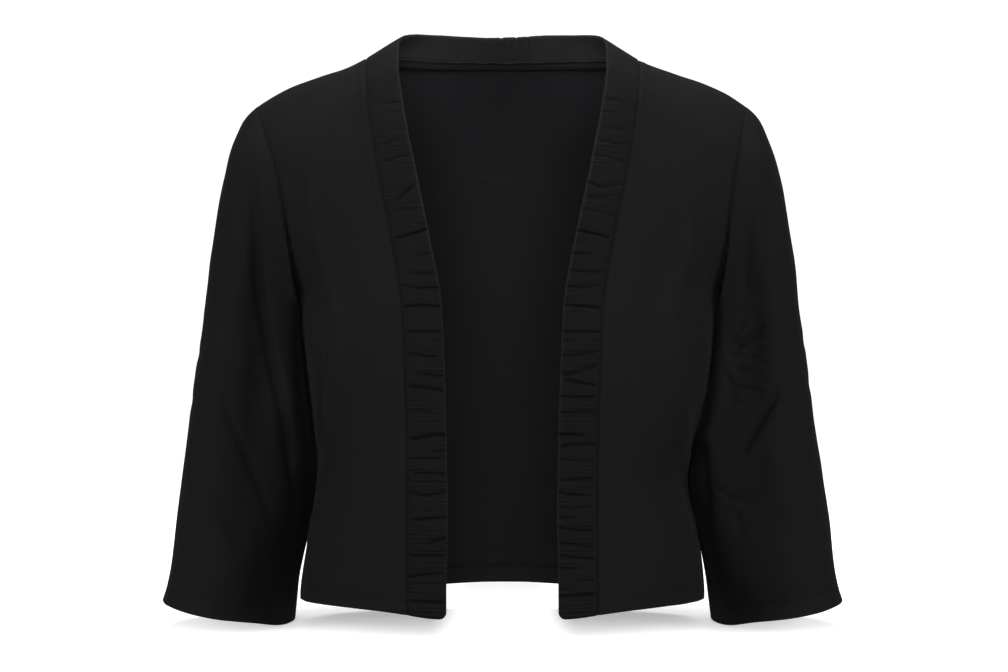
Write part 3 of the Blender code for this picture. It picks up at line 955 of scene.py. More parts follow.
def share_normals(shells: Sequence[Shell]) -> None:
    """Give the shells their normals, with those at a seam midway between its two shells."""
    sums: dict[tuple[float, ...], Points] = {}

    def key(point: Points) -> tuple[float, ...]:
        """Return a name for a point that its neighbours in other shells share."""
        return tuple(np.round(point, KEY_DIGITS) + 0.0)

    borders = []
    for shell in shells:
        shell.normals = shell.own_normals()
        border = np.zeros(shell.outer.shape[:2], dtype=bool)
        border[[0, -1]] = True
        if not shell.closed:
            border[:, [0, -1]] = True
        borders.append(border)
        for point, normal in zip(shell.outer[border], shell.normals[border]):
            sums[key(point)] = sums.get(key(point), 0.0) + normal
    for shell, border in zip(shells, borders):
        shell.normals[border] = unit(np.array([sums[key(point)] for point in shell.outer[border]]))


# ---------------------------------------------------------------------------------------- stitching


@dataclass(frozen=True)
class StitchLine:
    """A row of stitches: each a short round bar of thread, half sunk in the cloth."""

    pitch: float = 0.0030
    length: float = 0.0024
    radius: float = 0.00026
    slant: float = 0.0  # degrees between the stitch and the row
    lift: float = 0.00006
    sides: int = 5

    def bars(self, line: Points, normals: Points) -> tuple[Points, Points]:
        """Make the stitches along a line.

        Args:
            line: points on the cloth.
            normals: the way out of the cloth at each of them.

        Returns:
            The stitches' points and faces.
        """
        along = lengths(line)
        count = max(1, int(along[-1] / self.pitch))
        middles = (np.arange(count) + 0.5) * along[-1] / count

        def at_middles(values: Points) -> Points:
            """Return a line's values at the middles of the stitches."""
            return np.stack([np.interp(middles, along, values[:, axis]) for axis in range(3)], axis=1)

        out = unit(at_middles(normals))
        ahead = at_middles(np.gradient(line, axis=0))
        ahead = unit(ahead - out * dot(ahead, out))
        beside = np.cross(out, ahead)
        turn = math.radians(self.slant)
        ahead, beside = (
            ahead * math.cos(turn) + beside * math.sin(turn),
            beside * math.cos(turn) - ahead * math.sin(turn),
        )
        stations = (np.array([-0.5, -0.36, 0.36, 0.5]) * self.length)[:, None, None]
        radii = np.array([0.35, 1.0, 1.0, 0.35])[:, None] * self.radius
        sinks = np.array([-1.1, 0.0, 0.0, -1.1])[:, None] * self.radius
        angles = np.arange(self.sides) * 2 * math.pi / self.sides
        centre, ahead, out, beside = (
            rows[:, None, None] for rows in (at_middles(line) + out * self.lift, ahead, out, beside)
        )
        points = (
            centre
            + ahead * stations
            + out * (sinks + radii * np.sin(angles))[..., None]
            + beside * (radii * np.cos(angles))[..., None]
        )
        ring = np.arange(self.sides)
        after = (ring + 1) % self.sides
        band = np.stack([ring, after, after + self.sides, ring + self.sides], axis=1)
        one = np.concatenate([band + step * self.sides for step in range(3)])
        faces = one[None] + (np.arange(count) * 4 * self.sides)[:, None, None]
        return points.reshape(-1, 3), faces.reshape(-1, 4)


def add_stitches(name: str, rows: Sequence[tuple[Points, Points]]) -> bpy.types.Object:
    """Join rows of stitches into one object."""
    starts = np.cumsum([0, *(len(points) for points, _ in rows)])
    faces = [numbers + start for (_, numbers), start in zip(rows, starts)]
    return add_mesh(name, np.concatenate([points for points, _ in rows]), np.concatenate(faces))


# ---------------------------------------------------------------------------------------- the panels


class Fit(NamedTuple):
    """How a sleeve hangs in front, beside the body."""

    square: float  # how square it stays towards the body, where 0 is a plain oval
    square_ends: tuple[float, float]  # heights over which that comes in
    lean_ends: tuple[float, float]  # heights over which it comes to lean on the body
    forward: float  # how much less its inner side swings back
    clear: float  # how much further off the body its inner side stays where it leans on it


FITS = {
    Side.LEFT: Fit(0.90, (-0.47, -0.33), (-0.336, -0.300), 0.30, 0.0038),
    Side.RIGHT: Fit(0.80, (-0.42, -0.27), (-0.250, -0.185), 0.0, 0.0060),
}
HEM_SHARES = (0.0, 0.015, 0.04, 0.08, 0.14, 0.22, 0.32, 0.44, 0.56, 0.68, 0.80, 0.90)
CUFF_SHARES = (0.0, 0.10, 0.20, 0.32, 0.44, 0.56, 0.68, 0.78, 0.86, 0.92, 0.96, 0.985)
SEAM_SHARES = (0.0, 0.02, 0.05, 0.09, 0.15, 0.24, 0.36, 0.50, 0.66, 0.83)
TO_SEAM_SHARES = (0.0, 0.17, 0.34, 0.50, 0.64, 0.76, 0.85, 0.91, 0.95, 0.98)
BODY_STEPS: tuple[Step, ...] = (HEM_SHARES, 3, 24, 24, 22, 19, 18, 18, 18, 18, TO_SEAM_SHARES)
SLEEVE_STEPS: tuple[Step, ...] = (SEAM_SHARES, 22, 30, 40, 38, 28, 22, 3, CUFF_SHARES)
UNDERARM = 6  # the row of the body's tables where the armhole starts


@dataclass
class Cut:
    """The lines of the cut at every mesh row, and the plain shells lofted between them."""

    front_columns: int = 84
    neck_columns: int = 52
    flank_columns: int = 50
    band_columns: int = 22
    lean: float = 0.0078  # how far a sleeve's front corner comes in where it leans on the body
    body_gap: float = 0.0019  # how far outside the body's cloth that corner stays
    most_shift: float = 0.02  # how far it may be moved for that
    squarer: float = 7.0  # what the power of a square ring's curve gains over an oval's 2
    late_swing: int = 14  # the higher, the closer to its inner point a square ring swings back
    clear_power: int = 6  # the higher, the closer to that point the extra clearance keeps
    clear_ends: tuple[float, float] = (0.05, 0.45)  # where it ends behind, as a share of the reach

    def __post_init__(self) -> None:
        """Work out the lines."""
        self.places = spread(BODY_STEPS)
        below = self.places < UNDERARM
        underarm = SIDE_SEAM[-1]
        behind = underarm._replace(turn=-underarm.turn)
        armhole = [underarm, *FRONT_ARMHOLE, SHOULDER_TIP, *BACK_ARMHOLE[::-1], behind]
        side = smooth_line(SIDE_SEAM, self.places[below])
        above = self.places[~below] - UNDERARM
        self.front_side = np.concatenate([side, smooth_line(armhole, above)])
        back = smooth_line(armhole, len(armhole) - 1 - above)
        self.back_side = np.concatenate([side * np.array([1, 1, 1, -1, 1, 1]), back])
        self.band_seam = smooth_line([*BAND_SEAM, PAST_BAND_SEAM], self.places)
        self.band_across = crowded(self.band_columns)

    def front(self) -> Shell:
        """Return the left front."""
        return Shell(loft(self.band_seam, self.front_side, crowded(self.front_columns)), 1)

    def back_half(self) -> Shell:
        """Return the left half of the back, from the centre back out."""
        rise = smooth_line([*BACK_RISE, PAST_BACK_RISE], self.places)
        centre, to_neck = (smooth_line(rows, self.places) for rows in (CENTRE_BACK, RISE_TO_NECK))
        middle = loft(centre, to_neck, np.linspace(0, 1, self.neck_columns + 1))
        flank = loft(rise, self.back_side, crowded(self.flank_columns, 0.5))
        return Shell(np.concatenate([middle, flank[:, 1:]], axis=1), -1)

    def band(self) -> Shell:
        """Return the left front band."""
        fold = smooth_line([*BAND_FOLD, *NECK_FOLD], self.places)
        return Shell(straight_across(self.band_seam[:, :3], fold, self.band_across), -1)

    def neck_half(self, neckline: Points) -> Shell:
        """Return the left half of the neck band, its rows running up from the back neckline to the fold."""
        last = len(BAND_FOLD) - 1
        places = np.linspace(last + 1 + len(NECK_FOLD) // 2, last, len(neckline))
        fold = smooth_line([*BAND_FOLD, *NECK_FOLD], places)
        return Shell(straight_across(neckline, fold, self.band_across).transpose(1, 0, 2), -1)

    def sleeve(self, front: Shell, back: Shell, fit: Fit) -> Shell:
        """Return the left sleeve's plain shell, ring by ring from the armhole to the cuff.

        Args:
            front: the left front, for its armhole and the cloth that the sleeve hangs beside.
            back: the left half of the back.
            fit: how the sleeve hangs beside the body.
        """
        row = int(np.searchsorted(self.places, UNDERARM))
        up_front, up_back = front.outer[row:, -1], back.outer[row:, -1]
        armhole = np.concatenate([up_front, up_back[-2:0:-1]])
        along = (lengths(edge) for edge in (up_front, up_back))
        front_angles, back_angles = (math.pi * (1 - length / length[-1]) for length in along)
        angles = np.concatenate([-front_angles, back_angles[-2:0:-1]])
        rings = smooth_line(SLEEVE_RINGS, spread(SLEEVE_STEPS))
        beside = np.searchsorted(front.outer[:row, -1, 2], rings[:, 3]).clip(max=row - 1)
        cloths = front.outer[beside]
        plain = np.array([self._ring(ring, angles, fit, cloth) for ring, cloth in zip(rings, cloths)])
        return Shell(plain + rings[:, 7][:, None, None] * (armhole - plain[0]), -1, closed=True)

    def _ring(self, ring: Points, angles: Points, fit: Fit, cloth: Points) -> Points:
        """Return the points of one ring of the sleeve.

        Args:
            ring: its values from the sleeve's table.
            angles: where its points lie round it, 0 outside and below 0 in front.
            fit: how the sleeve hangs beside the body.
            cloth: the row of the front that it hangs beside.
        """
        outer_x, outer_z, inner_x, inner_z, middle_y, reach, swing, armhole = ring
        side, front = np.cos(angles), np.sin(angles)
        square = (1 - armhole) * fit.square * step_up(inner_z, *fit.square_ends)
        lean = (1 - armhole) * step_up(inner_z, *fit.lean_ends)
        near = (side < 0) & (front < 0)
        power = 2 + self.squarer * square
        rounder = np.where(near, (np.abs(side) ** power + np.abs(front) ** power) ** (-1 / power), 1.0)
        side, front = side * rounder, front * rounder
        inward = np.clip(-side, 0.0, 1.0)
        late = inward * (1 - inward) ** 2 + inward**self.late_swing
        back = (1 - side) / 2 + np.where(near, min(square, 1.0) * (late - inward) / 2, 0.0)
        x = (outer_x + inner_x) / 2 + (outer_x - inner_x) / 2 * side
        x = x - np.where(near, self.lean * lean * np.clip(4 * (side * front) ** 2, 0.0, 1.0), 0.0)
        x = x + fit.clear * lean * inward**self.clear_power * (1 - step_up(front, *self.clear_ends))
        y = middle_y + reach * front + swing * (1 - fit.forward * square) * back
        z = (outer_z + inner_z) / 2 + (outer_z - inner_z) / 2 * side
        beside = np.interp(y, cloth[:, 1], cloth[:, 0]) + self.body_gap
        x = x + np.where(near, (1 - armhole) * np.clip(beside - x, 0.0, self.most_shift), 0.0)
        return np.stack([x, y, z], axis=1)


@dataclass
class Making:
    """How the cloth is sewn: its thickness, its seams' grooves and its turned-up hems."""

    jersey: float = 0.0011
    hem: float = 0.0023
    band: float = 0.0026
    groove_depth: float = 0.00075
    groove_width: float = 0.0015
    armhole_depth: float = 1.3  # how many times its depth the groove gains at the underarm
    armhole_deepens: tuple[float, float] = (-0.15, -0.07)
    armhole_ends: tuple[float, float] = (-0.062, -0.040)  # it fades towards the shoulder's tip
    armhole_fade: float = 0.75  # by how many times its depth
    armhole_widens: float = 0.35  # how much wider it is for each time that it is deeper
    imprint: float = 0.00032  # how far the seam allowance under the front lifts it beside the band
    imprint_ends: tuple[float, float] = (0.0050, 0.0062)
    needle_groove: float = 0.00028
    needle_width: float = 0.0009
    needle_shares: tuple[float, float] = (0.76, 0.94)  # the two needle lines, as shares of the hem's height
    fold_radius: float = 0.0012
    hem_edge: float = 0.0009  # height over which a hem's raw edge steps down to plain cloth
    hem_calm: float = 0.004  # how far above its fold a hem's ripples are at full height
    hem_puckers: Puckers = Puckers(0.00022, 0.0078, 0.0055)
    seam_puckers: Puckers = Puckers(0.00028, 0.0105, 0.0065)
    band_puckers: Puckers = Puckers(0.00028, 0.0105, 0.0030)
    neck_puckers: Puckers = Puckers(0.00026, 0.0062, 0.0300)

    def groove(self, away: Points) -> Points:
        """Return the groove beside a seam."""
        return -self.groove_depth * bump(away, self.groove_width)

    def armhole_groove(self, away: Points, heights: Points) -> Points:
        """Return the groove beside an armhole, which deepens towards the underarm."""
        deeper = 1 + self.armhole_depth * (1 - step_up(heights, *self.armhole_deepens))
        deeper = deeper - self.armhole_fade * step_up(heights, *self.armhole_ends)
        width = self.groove_width * (1 + self.armhole_widens * (deeper - 1))
        return -self.groove_depth * deeper * bump(away, width)

    def hem_relief(self, shell: Shell, places: Points, from_fold: Points) -> None:
        """Turn up, stitch and round one hem.

        Args:
            shell: the panel, whose first row is the hem's fold.
            places: each mesh row's share of the hem's height, from 0 at the fold to 1 at its top and on.
            from_fold: how far each point lies from the folded edge.
        """
        height = np.interp(1.0, places, from_fold[:, 0])
        ledge = 1 - step_up(places, 1.0, 1.0 + self.hem_edge / height)
        shell.thickness += (ledge * (self.hem - self.jersey))[:, None]
        ripples = self.hem_puckers.relief(lengths(shell.outer[0])[None, :], from_fold - height)
        shell.relief += ripples * step_up(from_fold, 0.0, self.hem_calm)
        for share in self.needle_shares:
            shell.relief -= self.needle_groove * bump((places - share)[:, None] * height, self.needle_width)
        shell.round_off(np.clip(from_fold / self.fold_radius, 0.02, 1.0))


FOLDS = {
    "front_right": (
        *folds(
            View.FRONT,
            (11, 3.6, 0.3, 0.14, (-155, -95), (-148, -140), (-137, -175), (-129, -210), (-128, -235),
             (-132, -262), (-136, -298), (-139, -328), (-145, -356), (-152, -385), (-157, -425)),
            steep=1.25,
        ),
        *folds(
            View.FRONT,
            (7, -2.4, 0, 0.25, (-141, -190), (-138, -215), (-137, -240), (-141, -268), (-145, -300),
             (-148, -330)),
            (4.8, -2.2, 0.45, 0.35, (-161, -85), (-159, -112), (-154, -135), (-150, -162)),
            (2.2, -1.3, 0.55, 0.3, (-78, -299), (-85, -312), (-94, -327)),
            (2.4, -0.7, 0.5, 0.35, (-80, -303), (-82, -316), (-81, -332)),
            (2.6, -1, 0.6, 0.3, (-142, -364), (-133, -385), (-122, -407)),
            (4.5, -0.5, 0.5, 0.35, (-100, -205), (-94, -222), (-86, -236)),
            (2.2, -0.7, 0.6, 0.35, (-94, -211), (-90, -219), (-86, -229)),
            (2, -0.5, 0.6, 0.35, (-87, -228), (-85, -223), (-84, -217)),
            (20, 1.2, 0.2, 0.35, (-118, -120), (-108, -190), (-104, -270)),
            (16, -1.1, 0.3, 0.35, (-112, -300), (-116, -350), (-112, -410)),
            (4, -0.5, 0.5, 0.35, (-136, -402), (-120, -408), (-102, -411)),
        ),
    ),
    "front_left": (
        *folds(
            View.FRONT,
            (13, 3, 0.3, 0.16, (158, -100), (148, -150), (135, -190), (128, -222), (132, -255), (139, -290),
             (145, -320), (150, -352), (157, -392)),
            steep=0.8,
        ),
        *folds(
            View.FRONT,
            (5, -1.6, 0.4, 0.35, (154, -106), (155, -150), (158, -176)),
            (2.6, -1, 0.6, 0.35, (134, -196), (141, -203), (150, -207)),
            (2.8, -1, 0.6, 0.35, (130, -210), (139, -217), (150, -223)),
            (2.8, -0.9, 0.6, 0.35, (137, -229), (145, -236), (152, -247)),
            (3, -1, 0.5, 0.35, (146, -186), (155, -199), (162, -216)),
            (2.2, -0.7, 0.6, 0.35, (117, -284), (121, -291), (125, -299)),
            (2.2, -0.9, 0.6, 0.35, (82, -316), (86, -322), (91, -327)),
            (2.8, -0.7, 0.6, 0.35, (86, -377), (100, -380), (118, -381)),
            (3.6, -0.6, 0.5, 0.35, (80, -345), (92, -358), (101, -372)),
            (19, 1.2, 0.2, 0.35, (112, -120), (103, -180), (100, -260)),
            (15, -1, 0.3, 0.35, (108, -290), (112, -340), (106, -400)),
        ),
    ),
    "back": (
        *folds(
            View.BACK,
            (15, 2.6, 0.35, 0.35, (150, -180), (128, -240), (118, -310), (122, -380)),
            (14, 2.9, 0.35, 0.35, (-152, -170), (-132, -225), (-120, -290), (-117, -400)),
            (7.5, -1.5, 0.35, 0.35, (136, -150), (118, -185), (92, -205)),
            (8, -1.7, 0.35, 0.35, (-140, -135), (-116, -165), (-84, -192)),
            (5, -0.9, 0.35, 0.35, (-48, -89), (-4, -94), (44, -91)),
            (9, -1, 0.35, 0.35, (-62, -300), (-40, -262), (-12, -236)),
            (10, -1.2, 0.35, 0.35, (58, -330), (36, -292), (6, -268)),
            (18, 1.8, 0.35, 0.35, (24, -300), (28, -350), (22, -415)),
            (17, 1.6, 0.35, 0.35, (-52, -310), (-58, -360), (-55, -420)),
            (12, -0.9, 0.35, 0.35, (82, -90), (60, -130), (52, -180)),
            (9, -1.1, 0.35, 0.35, (-94, -250), (-80, -290), (-86, -340)),
        ),
    ),
    "sleeve_right": (
        *folds(
            View.FRONT,
            (5.8, -3.6, 0.4, 0.2, (-206, -70), (-202, -100), (-197, -143), (-195, -183), (-189.5, -222),
             (-184.5, -249), (-178.5, -276), (-172, -310), (-168, -336), (-164, -362)),
            (11.5, -4.2, 0, 0.4, (-175, -282), (-170, -308), (-166, -335), (-163, -365), (-164, -395)),
            (11, 3, 0, 0.25, (-183, -150), (-182, -200), (-178, -240), (-173, -275), (-168, -310)),
            (3.2, -1.1, 0.5, 0.3, (-197, -86), (-191, -95), (-186, -105)),
            (11, 1.4, 0.2, 0.35, (-214, -110), (-210, -170), (-206, -230), (-200, -290)),
            (4.8, -1.8, 0.5, 0.2, (-226, -270), (-219, -288), (-205, -320), (-193, -352), (-183, -382)),
            (3.2, -1.6, 0.5, 0.25, (-196, -48), (-190, -66), (-182, -92)),
            (3, -1.2, 0.5, 0.35, (-190, -90), (-187, -101), (-183, -113)),
            (4.2, -1.8, 0.5, 0.35, (-183, -130), (-180, -150), (-175, -168), (-170, -186)),
            (4, -1.2, 0.6, 0.35, (-205, -252), (-196, -262), (-187, -268)),
            (4, -1, 0.6, 0.35, (-212, -236), (-198, -243), (-186, -246)),
            (3, -0.8, 0.6, 0.35, (-213, -224), (-203, -228), (-194, -230)),
            (13, 1.2, 0.2, 0.35, (-226, -200), (-232, -260), (-238, -330)),
            (8, -1, 0.4, 0.35, (-230, -345), (-216, -375), (-205, -405)),
        ),
        *folds(
            View.LEFT,
            (14, 0.4, 0, 0.35, (14, -345), (24, -372), (26, -400), (22, -425)),
        ),
        *folds(
            View.RIGHT,
            (8, -0.6, 0.5, 0.35, (-40, -230), (-10, -243), (24, -236)),
            (8.5, -0.6, 0.5, 0.35, (-46, -262), (-12, -281), (30, -270)),
            (20, -1, 0.1, 0.35, (-10, -160), (-4, -200), (-8, -255)),
            (20, 0.4, 0.1, 0.35, (0, -290), (-6, -350), (-10, -425)),
        ),
        *folds(
            View.BACK,
            (9, -2.6, 0.4, 0.35, (-194, -110), (-203, -160), (-196, -220)),
            (5, -2, 0.6, 0.35, (-226, -225), (-205, -245), (-186, -252)),
            (5.5, -2, 0.6, 0.35, (-230, -255), (-208, -278), (-188, -292)),
            (12, -1.6, 0.3, 0.35, (-214, -300), (-222, -350), (-214, -410)),
        ),
    ),
    "sleeve_left": (
        *folds(
            View.FRONT,
            (2.6, -1.2, 0.6, 0.35, (190, -243.5), (198, -245), (206.5, -244)),
            (2.8, -1.5, 0.6, 0.35, (184, -252.5), (191, -255), (199, -254)),
            (2.6, -1, 0.6, 0.35, (202, -251.5), (209, -249.5), (217.5, -250)),
            (3, -1.7, 0.6, 0.3, (182, -267.5), (188, -270), (197, -268.5), (204, -271), (210, -270)),
            (2.8, -1.2, 0.6, 0.35, (180, -277), (186, -280), (192, -281.5)),
            (3.8, -1.4, 0.4, 0.35, (185, -226), (187.5, -232), (190, -237)),
            (2.8, -1.2, 0.5, 0.3, (165.5, -345), (173, -352), (180, -353.5)),
            (2.4, -0.9, 0.6, 0.3, (201, -239), (207, -238), (214, -241)),
            (2.6, -0.8, 0.6, 0.3, (196, -229), (204, -231), (211, -229)),
            (2.2, -1, 0.6, 0.3, (204, -262), (209, -265), (216, -263)),
            (3.8, -3, 0.35, 0.25, (222, -266), (216.5, -276), (206, -294), (195, -313), (187, -330)),
            (9, -6.4, 0, 0.3, (157, -306), (157.5, -330), (160, -358), (165, -390)),
            (13, -2, 0, 0.35, (182, -290), (176, -322), (175, -355), (179, -390)),
            (3.6, -2.2, 0.5, 0.25, (183, -240), (191, -233), (200, -226), (214, -213)),
            (2.6, -1, 0.5, 0.3, (177, -238), (184, -243), (190, -241)),
            (4, -1.2, 0.4, 0.3, (176, -252), (181, -262), (183, -274), (180, -286)),
            (3.2, -1.3, 0.5, 0.25, (180, -232), (188, -223), (195, -217)),
            (6, -0.9, 0.3, 0.35, (176, -222), (182, -232), (186, -246), (187, -262)),
            (3.4, -1.2, 0.5, 0.3, (176, -351), (183, -357.5), (192, -359.5), (204, -357)),
            (3.6, -1, 0.5, 0.25, (184, -366), (188, -376), (190, -388)),
            (5.2, -1.9, 0.4, 0.15, (200, -80), (197, -120), (195, -160), (193, -200)),
            (4.8, -2.2, 0.4, 0.2, (182, -120), (180, -140), (176, -165), (172, -185)),
            (13, 1.2, 0.2, 0.35, (222, -120), (230, -190), (238, -250)),
            (12, 1.2, 0.2, 0.35, (206, -300), (222, -340), (236, -400)),
        ),
        *folds(
            View.LEFT,
            (8, -0.6, 0.5, 0.35, (-36, -222), (-6, -236), (28, -230)),
            (8.5, -0.6, 0.5, 0.35, (-42, -256), (-8, -270), (26, -284)),
            (20, -1.6, 0.1, 0.35, (-6, -100), (-4, -160), (-8, -240)),
            (20, 2.2, 0.1, 0.35, (-2, -290), (-8, -355), (-12, -425)),
        ),
        *folds(
            View.BACK,
            (9, -2.5, 0.4, 0.35, (196, -105), (206, -165), (198, -215)),
            (5, -2, 0.6, 0.35, (230, -230), (208, -240), (188, -256)),
            (5, -1.8, 0.6, 0.35, (226, -262), (206, -270), (184, -288)),
            (12, -1.5, 0.3, 0.35, (210, -310), (218, -355), (208, -415)),
        ),
    ),
}


class Crease(NamedTuple):
    """A crease across the gathered band: its depth, and its path by share across and height."""

    depth: float
    path: Points


def creases(*rows: tuple) -> tuple[Crease, ...]:
    """Return creases from rows of depth and the path's points, their heights in millimetres."""
    return tuple(Crease(row[0], np.array(row[1:]) * (1.0, MM)) for row in rows)


CREASES = {
    Side.LEFT: creases(
        (0.5, (0.5, -42), (1, -39.7)), (0.25, (0.72, -52), (1, -51)), (0.35, (0.33, -65.5), (0.9, -64.2)),
        (0.55, (0.05, -76.3), (0.43, -77.2), (0.95, -73.9)),
        (0.6, (0.13, -91.2), (0.66, -87.2), (1, -86.2)), (1.1, (0.2, -109.4), (0.6, -112.6), (1, -108.1)),
        (0.9, (0.4, -120.7), (0.93, -120.5)), (0.4, (0.05, -134.3), (0.95, -129.5)),
        (1.25, (0.1, -151.8), (0.7, -147.8), (1, -146.2)), (0.35, (0.7, -156), (1, -155.6)),
        (0.75, (0.48, -164.7), (1, -164.2)), (0.75, (0.1, -178.8), (0.6, -178.3), (1, -177.2)),
        (0.85, (0.1, -188), (0.58, -190.6), (1, -189.5)), (1.15, (0.02, -206.2), (0.66, -204.6), (1, -204)),
        (0.3, (0.3, -210), (0.75, -209.4)), (0.85, (0.08, -224.6), (0.45, -224.2), (1, -224.6)),
        (0.35, (0.65, -231.3), (1, -231.3)), (0.85, (0.08, -239), (0.66, -242.2), (1, -241.9)),
        (1, (0.1, -249.2), (0.58, -254.9), (0.8, -256.7), (1, -256.8)),
        (0.85, (0.1, -265.2), (0.58, -262.9), (0.92, -259.7)),
        (0.85, (0.18, -273.6), (0.57, -274), (1, -273.2)), (0.75, (0.1, -285.3), (1, -285.7)),
        (1.15, (0.35, -303.6), (0.75, -302), (1, -302.4)),
        (1, (0.05, -309.7), (0.65, -309.6), (0.96, -312)),
        (0.5, (0.08, -322.5), (0.74, -322), (0.98, -320.3)),
        (0.85, (0.12, -335.6), (0.63, -337.1), (0.95, -337.1)),
        (1, (0.32, -349), (0.68, -347.6), (1, -345.9)), (0.5, (0.6, -360.6), (0.92, -357)),
        (0.45, (0.22, -357.2), (0.55, -358)), (0.6, (0.6, -366), (1, -365.6)),
        (0.85, (0.1, -375.7), (0.69, -374.7), (1, -372.5)),
        (0.7, (0.1, -388.6), (0.43, -387.1), (1, -384.3)),
        (0.8, (0.1, -397.4), (0.53, -396.1), (1, -394.4)), (0.65, (0.5, -404.8), (1, -403.5)),
        (0.45, (0.1, -413.8), (0.56, -413.6)), (0.45, (0.72, -421.3), (1, -419.5)),
        (1.1, (0.1, -424.4), (0.62, -425.2), (1, -425.6)),
    ),
    Side.RIGHT: creases(
        (0.5, (0.52, -42.6), (0.9, -42)), (0.25, (0.76, -65.8), (1, -64.3)),
        (0.5, (0.32, -77.2), (0.76, -73.5)), (0.65, (0.22, -91.7), (0.65, -87.7), (1, -86.3)),
        (2.1, (0.38, -122.2), (0.6, -116.5), (0.88, -110.4)),
        (0.35, (0.15, -132.8), (0.3, -129.2), (0.8, -130.1)), (0.3, (0.55, -126.2), (0.95, -123.5)),
        (1.25, (0.1, -152.1), (0.38, -150.6), (1, -145.5)), (0.45, (0.5, -166.7), (1, -164.5)),
        (0.6, (0.24, -179.8), (1, -179.6)), (0.95, (0.05, -188.5), (0.43, -191.2), (1, -190.9)),
        (1.05, (0.03, -205.5), (0.42, -204.3), (1, -204.9)), (0.85, (0.08, -224.1), (0.98, -224.6)),
        (0.45, (0.7, -232), (0.94, -230.1)),
        (1.05, (0.1, -240.7), (0.32, -241.7), (0.53, -243.3), (0.78, -243)),
        (1, (0.28, -255.6), (0.67, -257.3), (1, -257.9)), (1, (0.06, -265.5), (0.45, -266.6), (0.95, -269)),
        (0.65, (0.18, -283.8), (0.68, -285.8)),
        (1.3, (0.04, -306.2), (0.26, -305.2), (0.68, -302.8), (1, -303.1)),
        (0.45, (0.62, -315), (1, -315.1)), (0.45, (0.04, -320.8), (0.9, -320.7)),
        (0.65, (0.12, -331.5), (1, -332.4)), (0.35, (0.12, -338), (0.9, -337.9)),
        (0.9, (0.06, -345.8), (0.4, -348.9), (1, -345.8)), (0.55, (0.4, -360), (0.66, -360.4)),
        (0.95, (0.14, -367.4), (0.5, -366.5), (1, -365.4)),
        (0.9, (0.4, -385.7), (0.66, -383.9), (1, -380.8)),
        (0.65, (0.04, -394), (0.25, -394.9), (1, -394.8)),
        (0.8, (0.04, -411.4), (0.41, -409.3), (0.92, -408)), (0.3, (0.08, -415.7), (0.8, -415.6)),
        (0.85, (0.04, -429.3), (0.36, -430.1), (0.95, -430.5)),
    ),
}


@dataclass
class Gathers:
    """The gathered band's relief: narrow creases, the cloth puffed out between them, and finer wrinkles."""

    depth: float = 0.0027  # of a crease of depth 1
    below: float = 0.00050  # half width of a crease on its lower side
    above: float = 0.00090  # and on its upper side, where the cloth rolls over
    puff: float = 0.00055
    puff_reach: float = 0.006
    wrinkles: float = 0.00024
    wrinkle_lengths: tuple[float, float] = (0.0031, 0.0047)  # from one finer wrinkle to the next
    farthest: float = 0.02  # the distance taken where no crease is near
    full_below: float = -0.055  # the height where the gathering is full
    gone_above: float = -0.005

    def relief(
        self, lines: Sequence[Crease], heights: Points, shares: Points, slope: Points, width: float
    ) -> Points:
        """Return how far the cloth stands out at each point.

        Args:
            lines: the creases.
            heights: the height of each point.
            shares: its share of the way from the band's seam to its fold.
            slope: length along the band for a rise of 1.
            width: the band's width.
        """
        total = np.zeros(heights.shape)
        fullness = 1 - step_up(heights, self.full_below, self.gone_above)
        nearest = np.full(heights.shape, self.farthest)
        for crease in lines:
            path = crease.path
            lean = (path[-1, 1] - path[0, 1]) / (width * max(path[-1, 0] - path[0, 0], 0.05))
            level = np.interp(shares, path[:, 0], path[:, 1])
            away = (heights - level) * slope / math.hypot(1.0, lean)
            fade = step_up(shares, path[0, 0] - 0.07, path[0, 0] + 0.12)
            fade = fade * (1 - step_up(shares, path[-1, 0] - 0.10, path[-1, 0] + 0.06))
            reach = np.where(away > 0, self.above, self.below)
            total -= crease.depth * self.depth * fade / (1 + (away / reach) ** 2) ** 1.3
            nearest = np.minimum(nearest, np.abs(away) + 0.004 * (1 - fade))
        total += self.puff * fullness * np.sqrt(np.clip(nearest / self.puff_reach, 0.0, 1.0))
        along = heights * slope
        bend = 0.8 * np.sin(shares * 5.0 + along * 90) + 0.5 * np.sin(along * 310 + 1.0)
        first, second = (along * 2 * math.pi / length for length in self.wrinkle_lengths)
        fine = np.sin(first + bend) + 0.6 * np.sin(second - bend)
        return total + self.wrinkles * fine * fullness * (0.5 + 0.5 * np.sin(along * 130 + shares * 3))


class Tuck(NamedTuple):
    """A small crease up the back neck band: its place from the centre, its lean, its ends and its size."""

    place: float
    lean: float
    first: float
    last: float
    width: float
    depth: float


NECK_TUCKS = table(
    Tuck,
    (2, 3),
    (30, 1, 0.3, 0.95, 0.9, 0.7), (25.5, -0.8, 0.1, 0.8, 1.1, 1), (19.5, 1.2, 0.35, 0.99, 0.9, 1.2),
    (15, -0.6, 0.1, 0.9, 0.8, 0.9), (10.2, 0.8, 0.3, 0.99, 1, 1.4), (5.2, 0, 0.1, 0.85, 0.9, 1.1),
    (-0.5, -1, 0.25, 0.99, 1, 1.3), (-6, 0.6, 0.1, 0.7, 0.9, 0.8), (-13, -1.2, 0.4, 0.95, 1, 0.6),
    (-40, 4, 0.2, 0.8, 1.4, 0.5), (56, -12, 0.3, 0.8, 1.4, 0.6), (-62, 3, 0.1, 0.7, 1.2, 0.4),
)


# ---------------------------------------------------------------------------------------- the garment


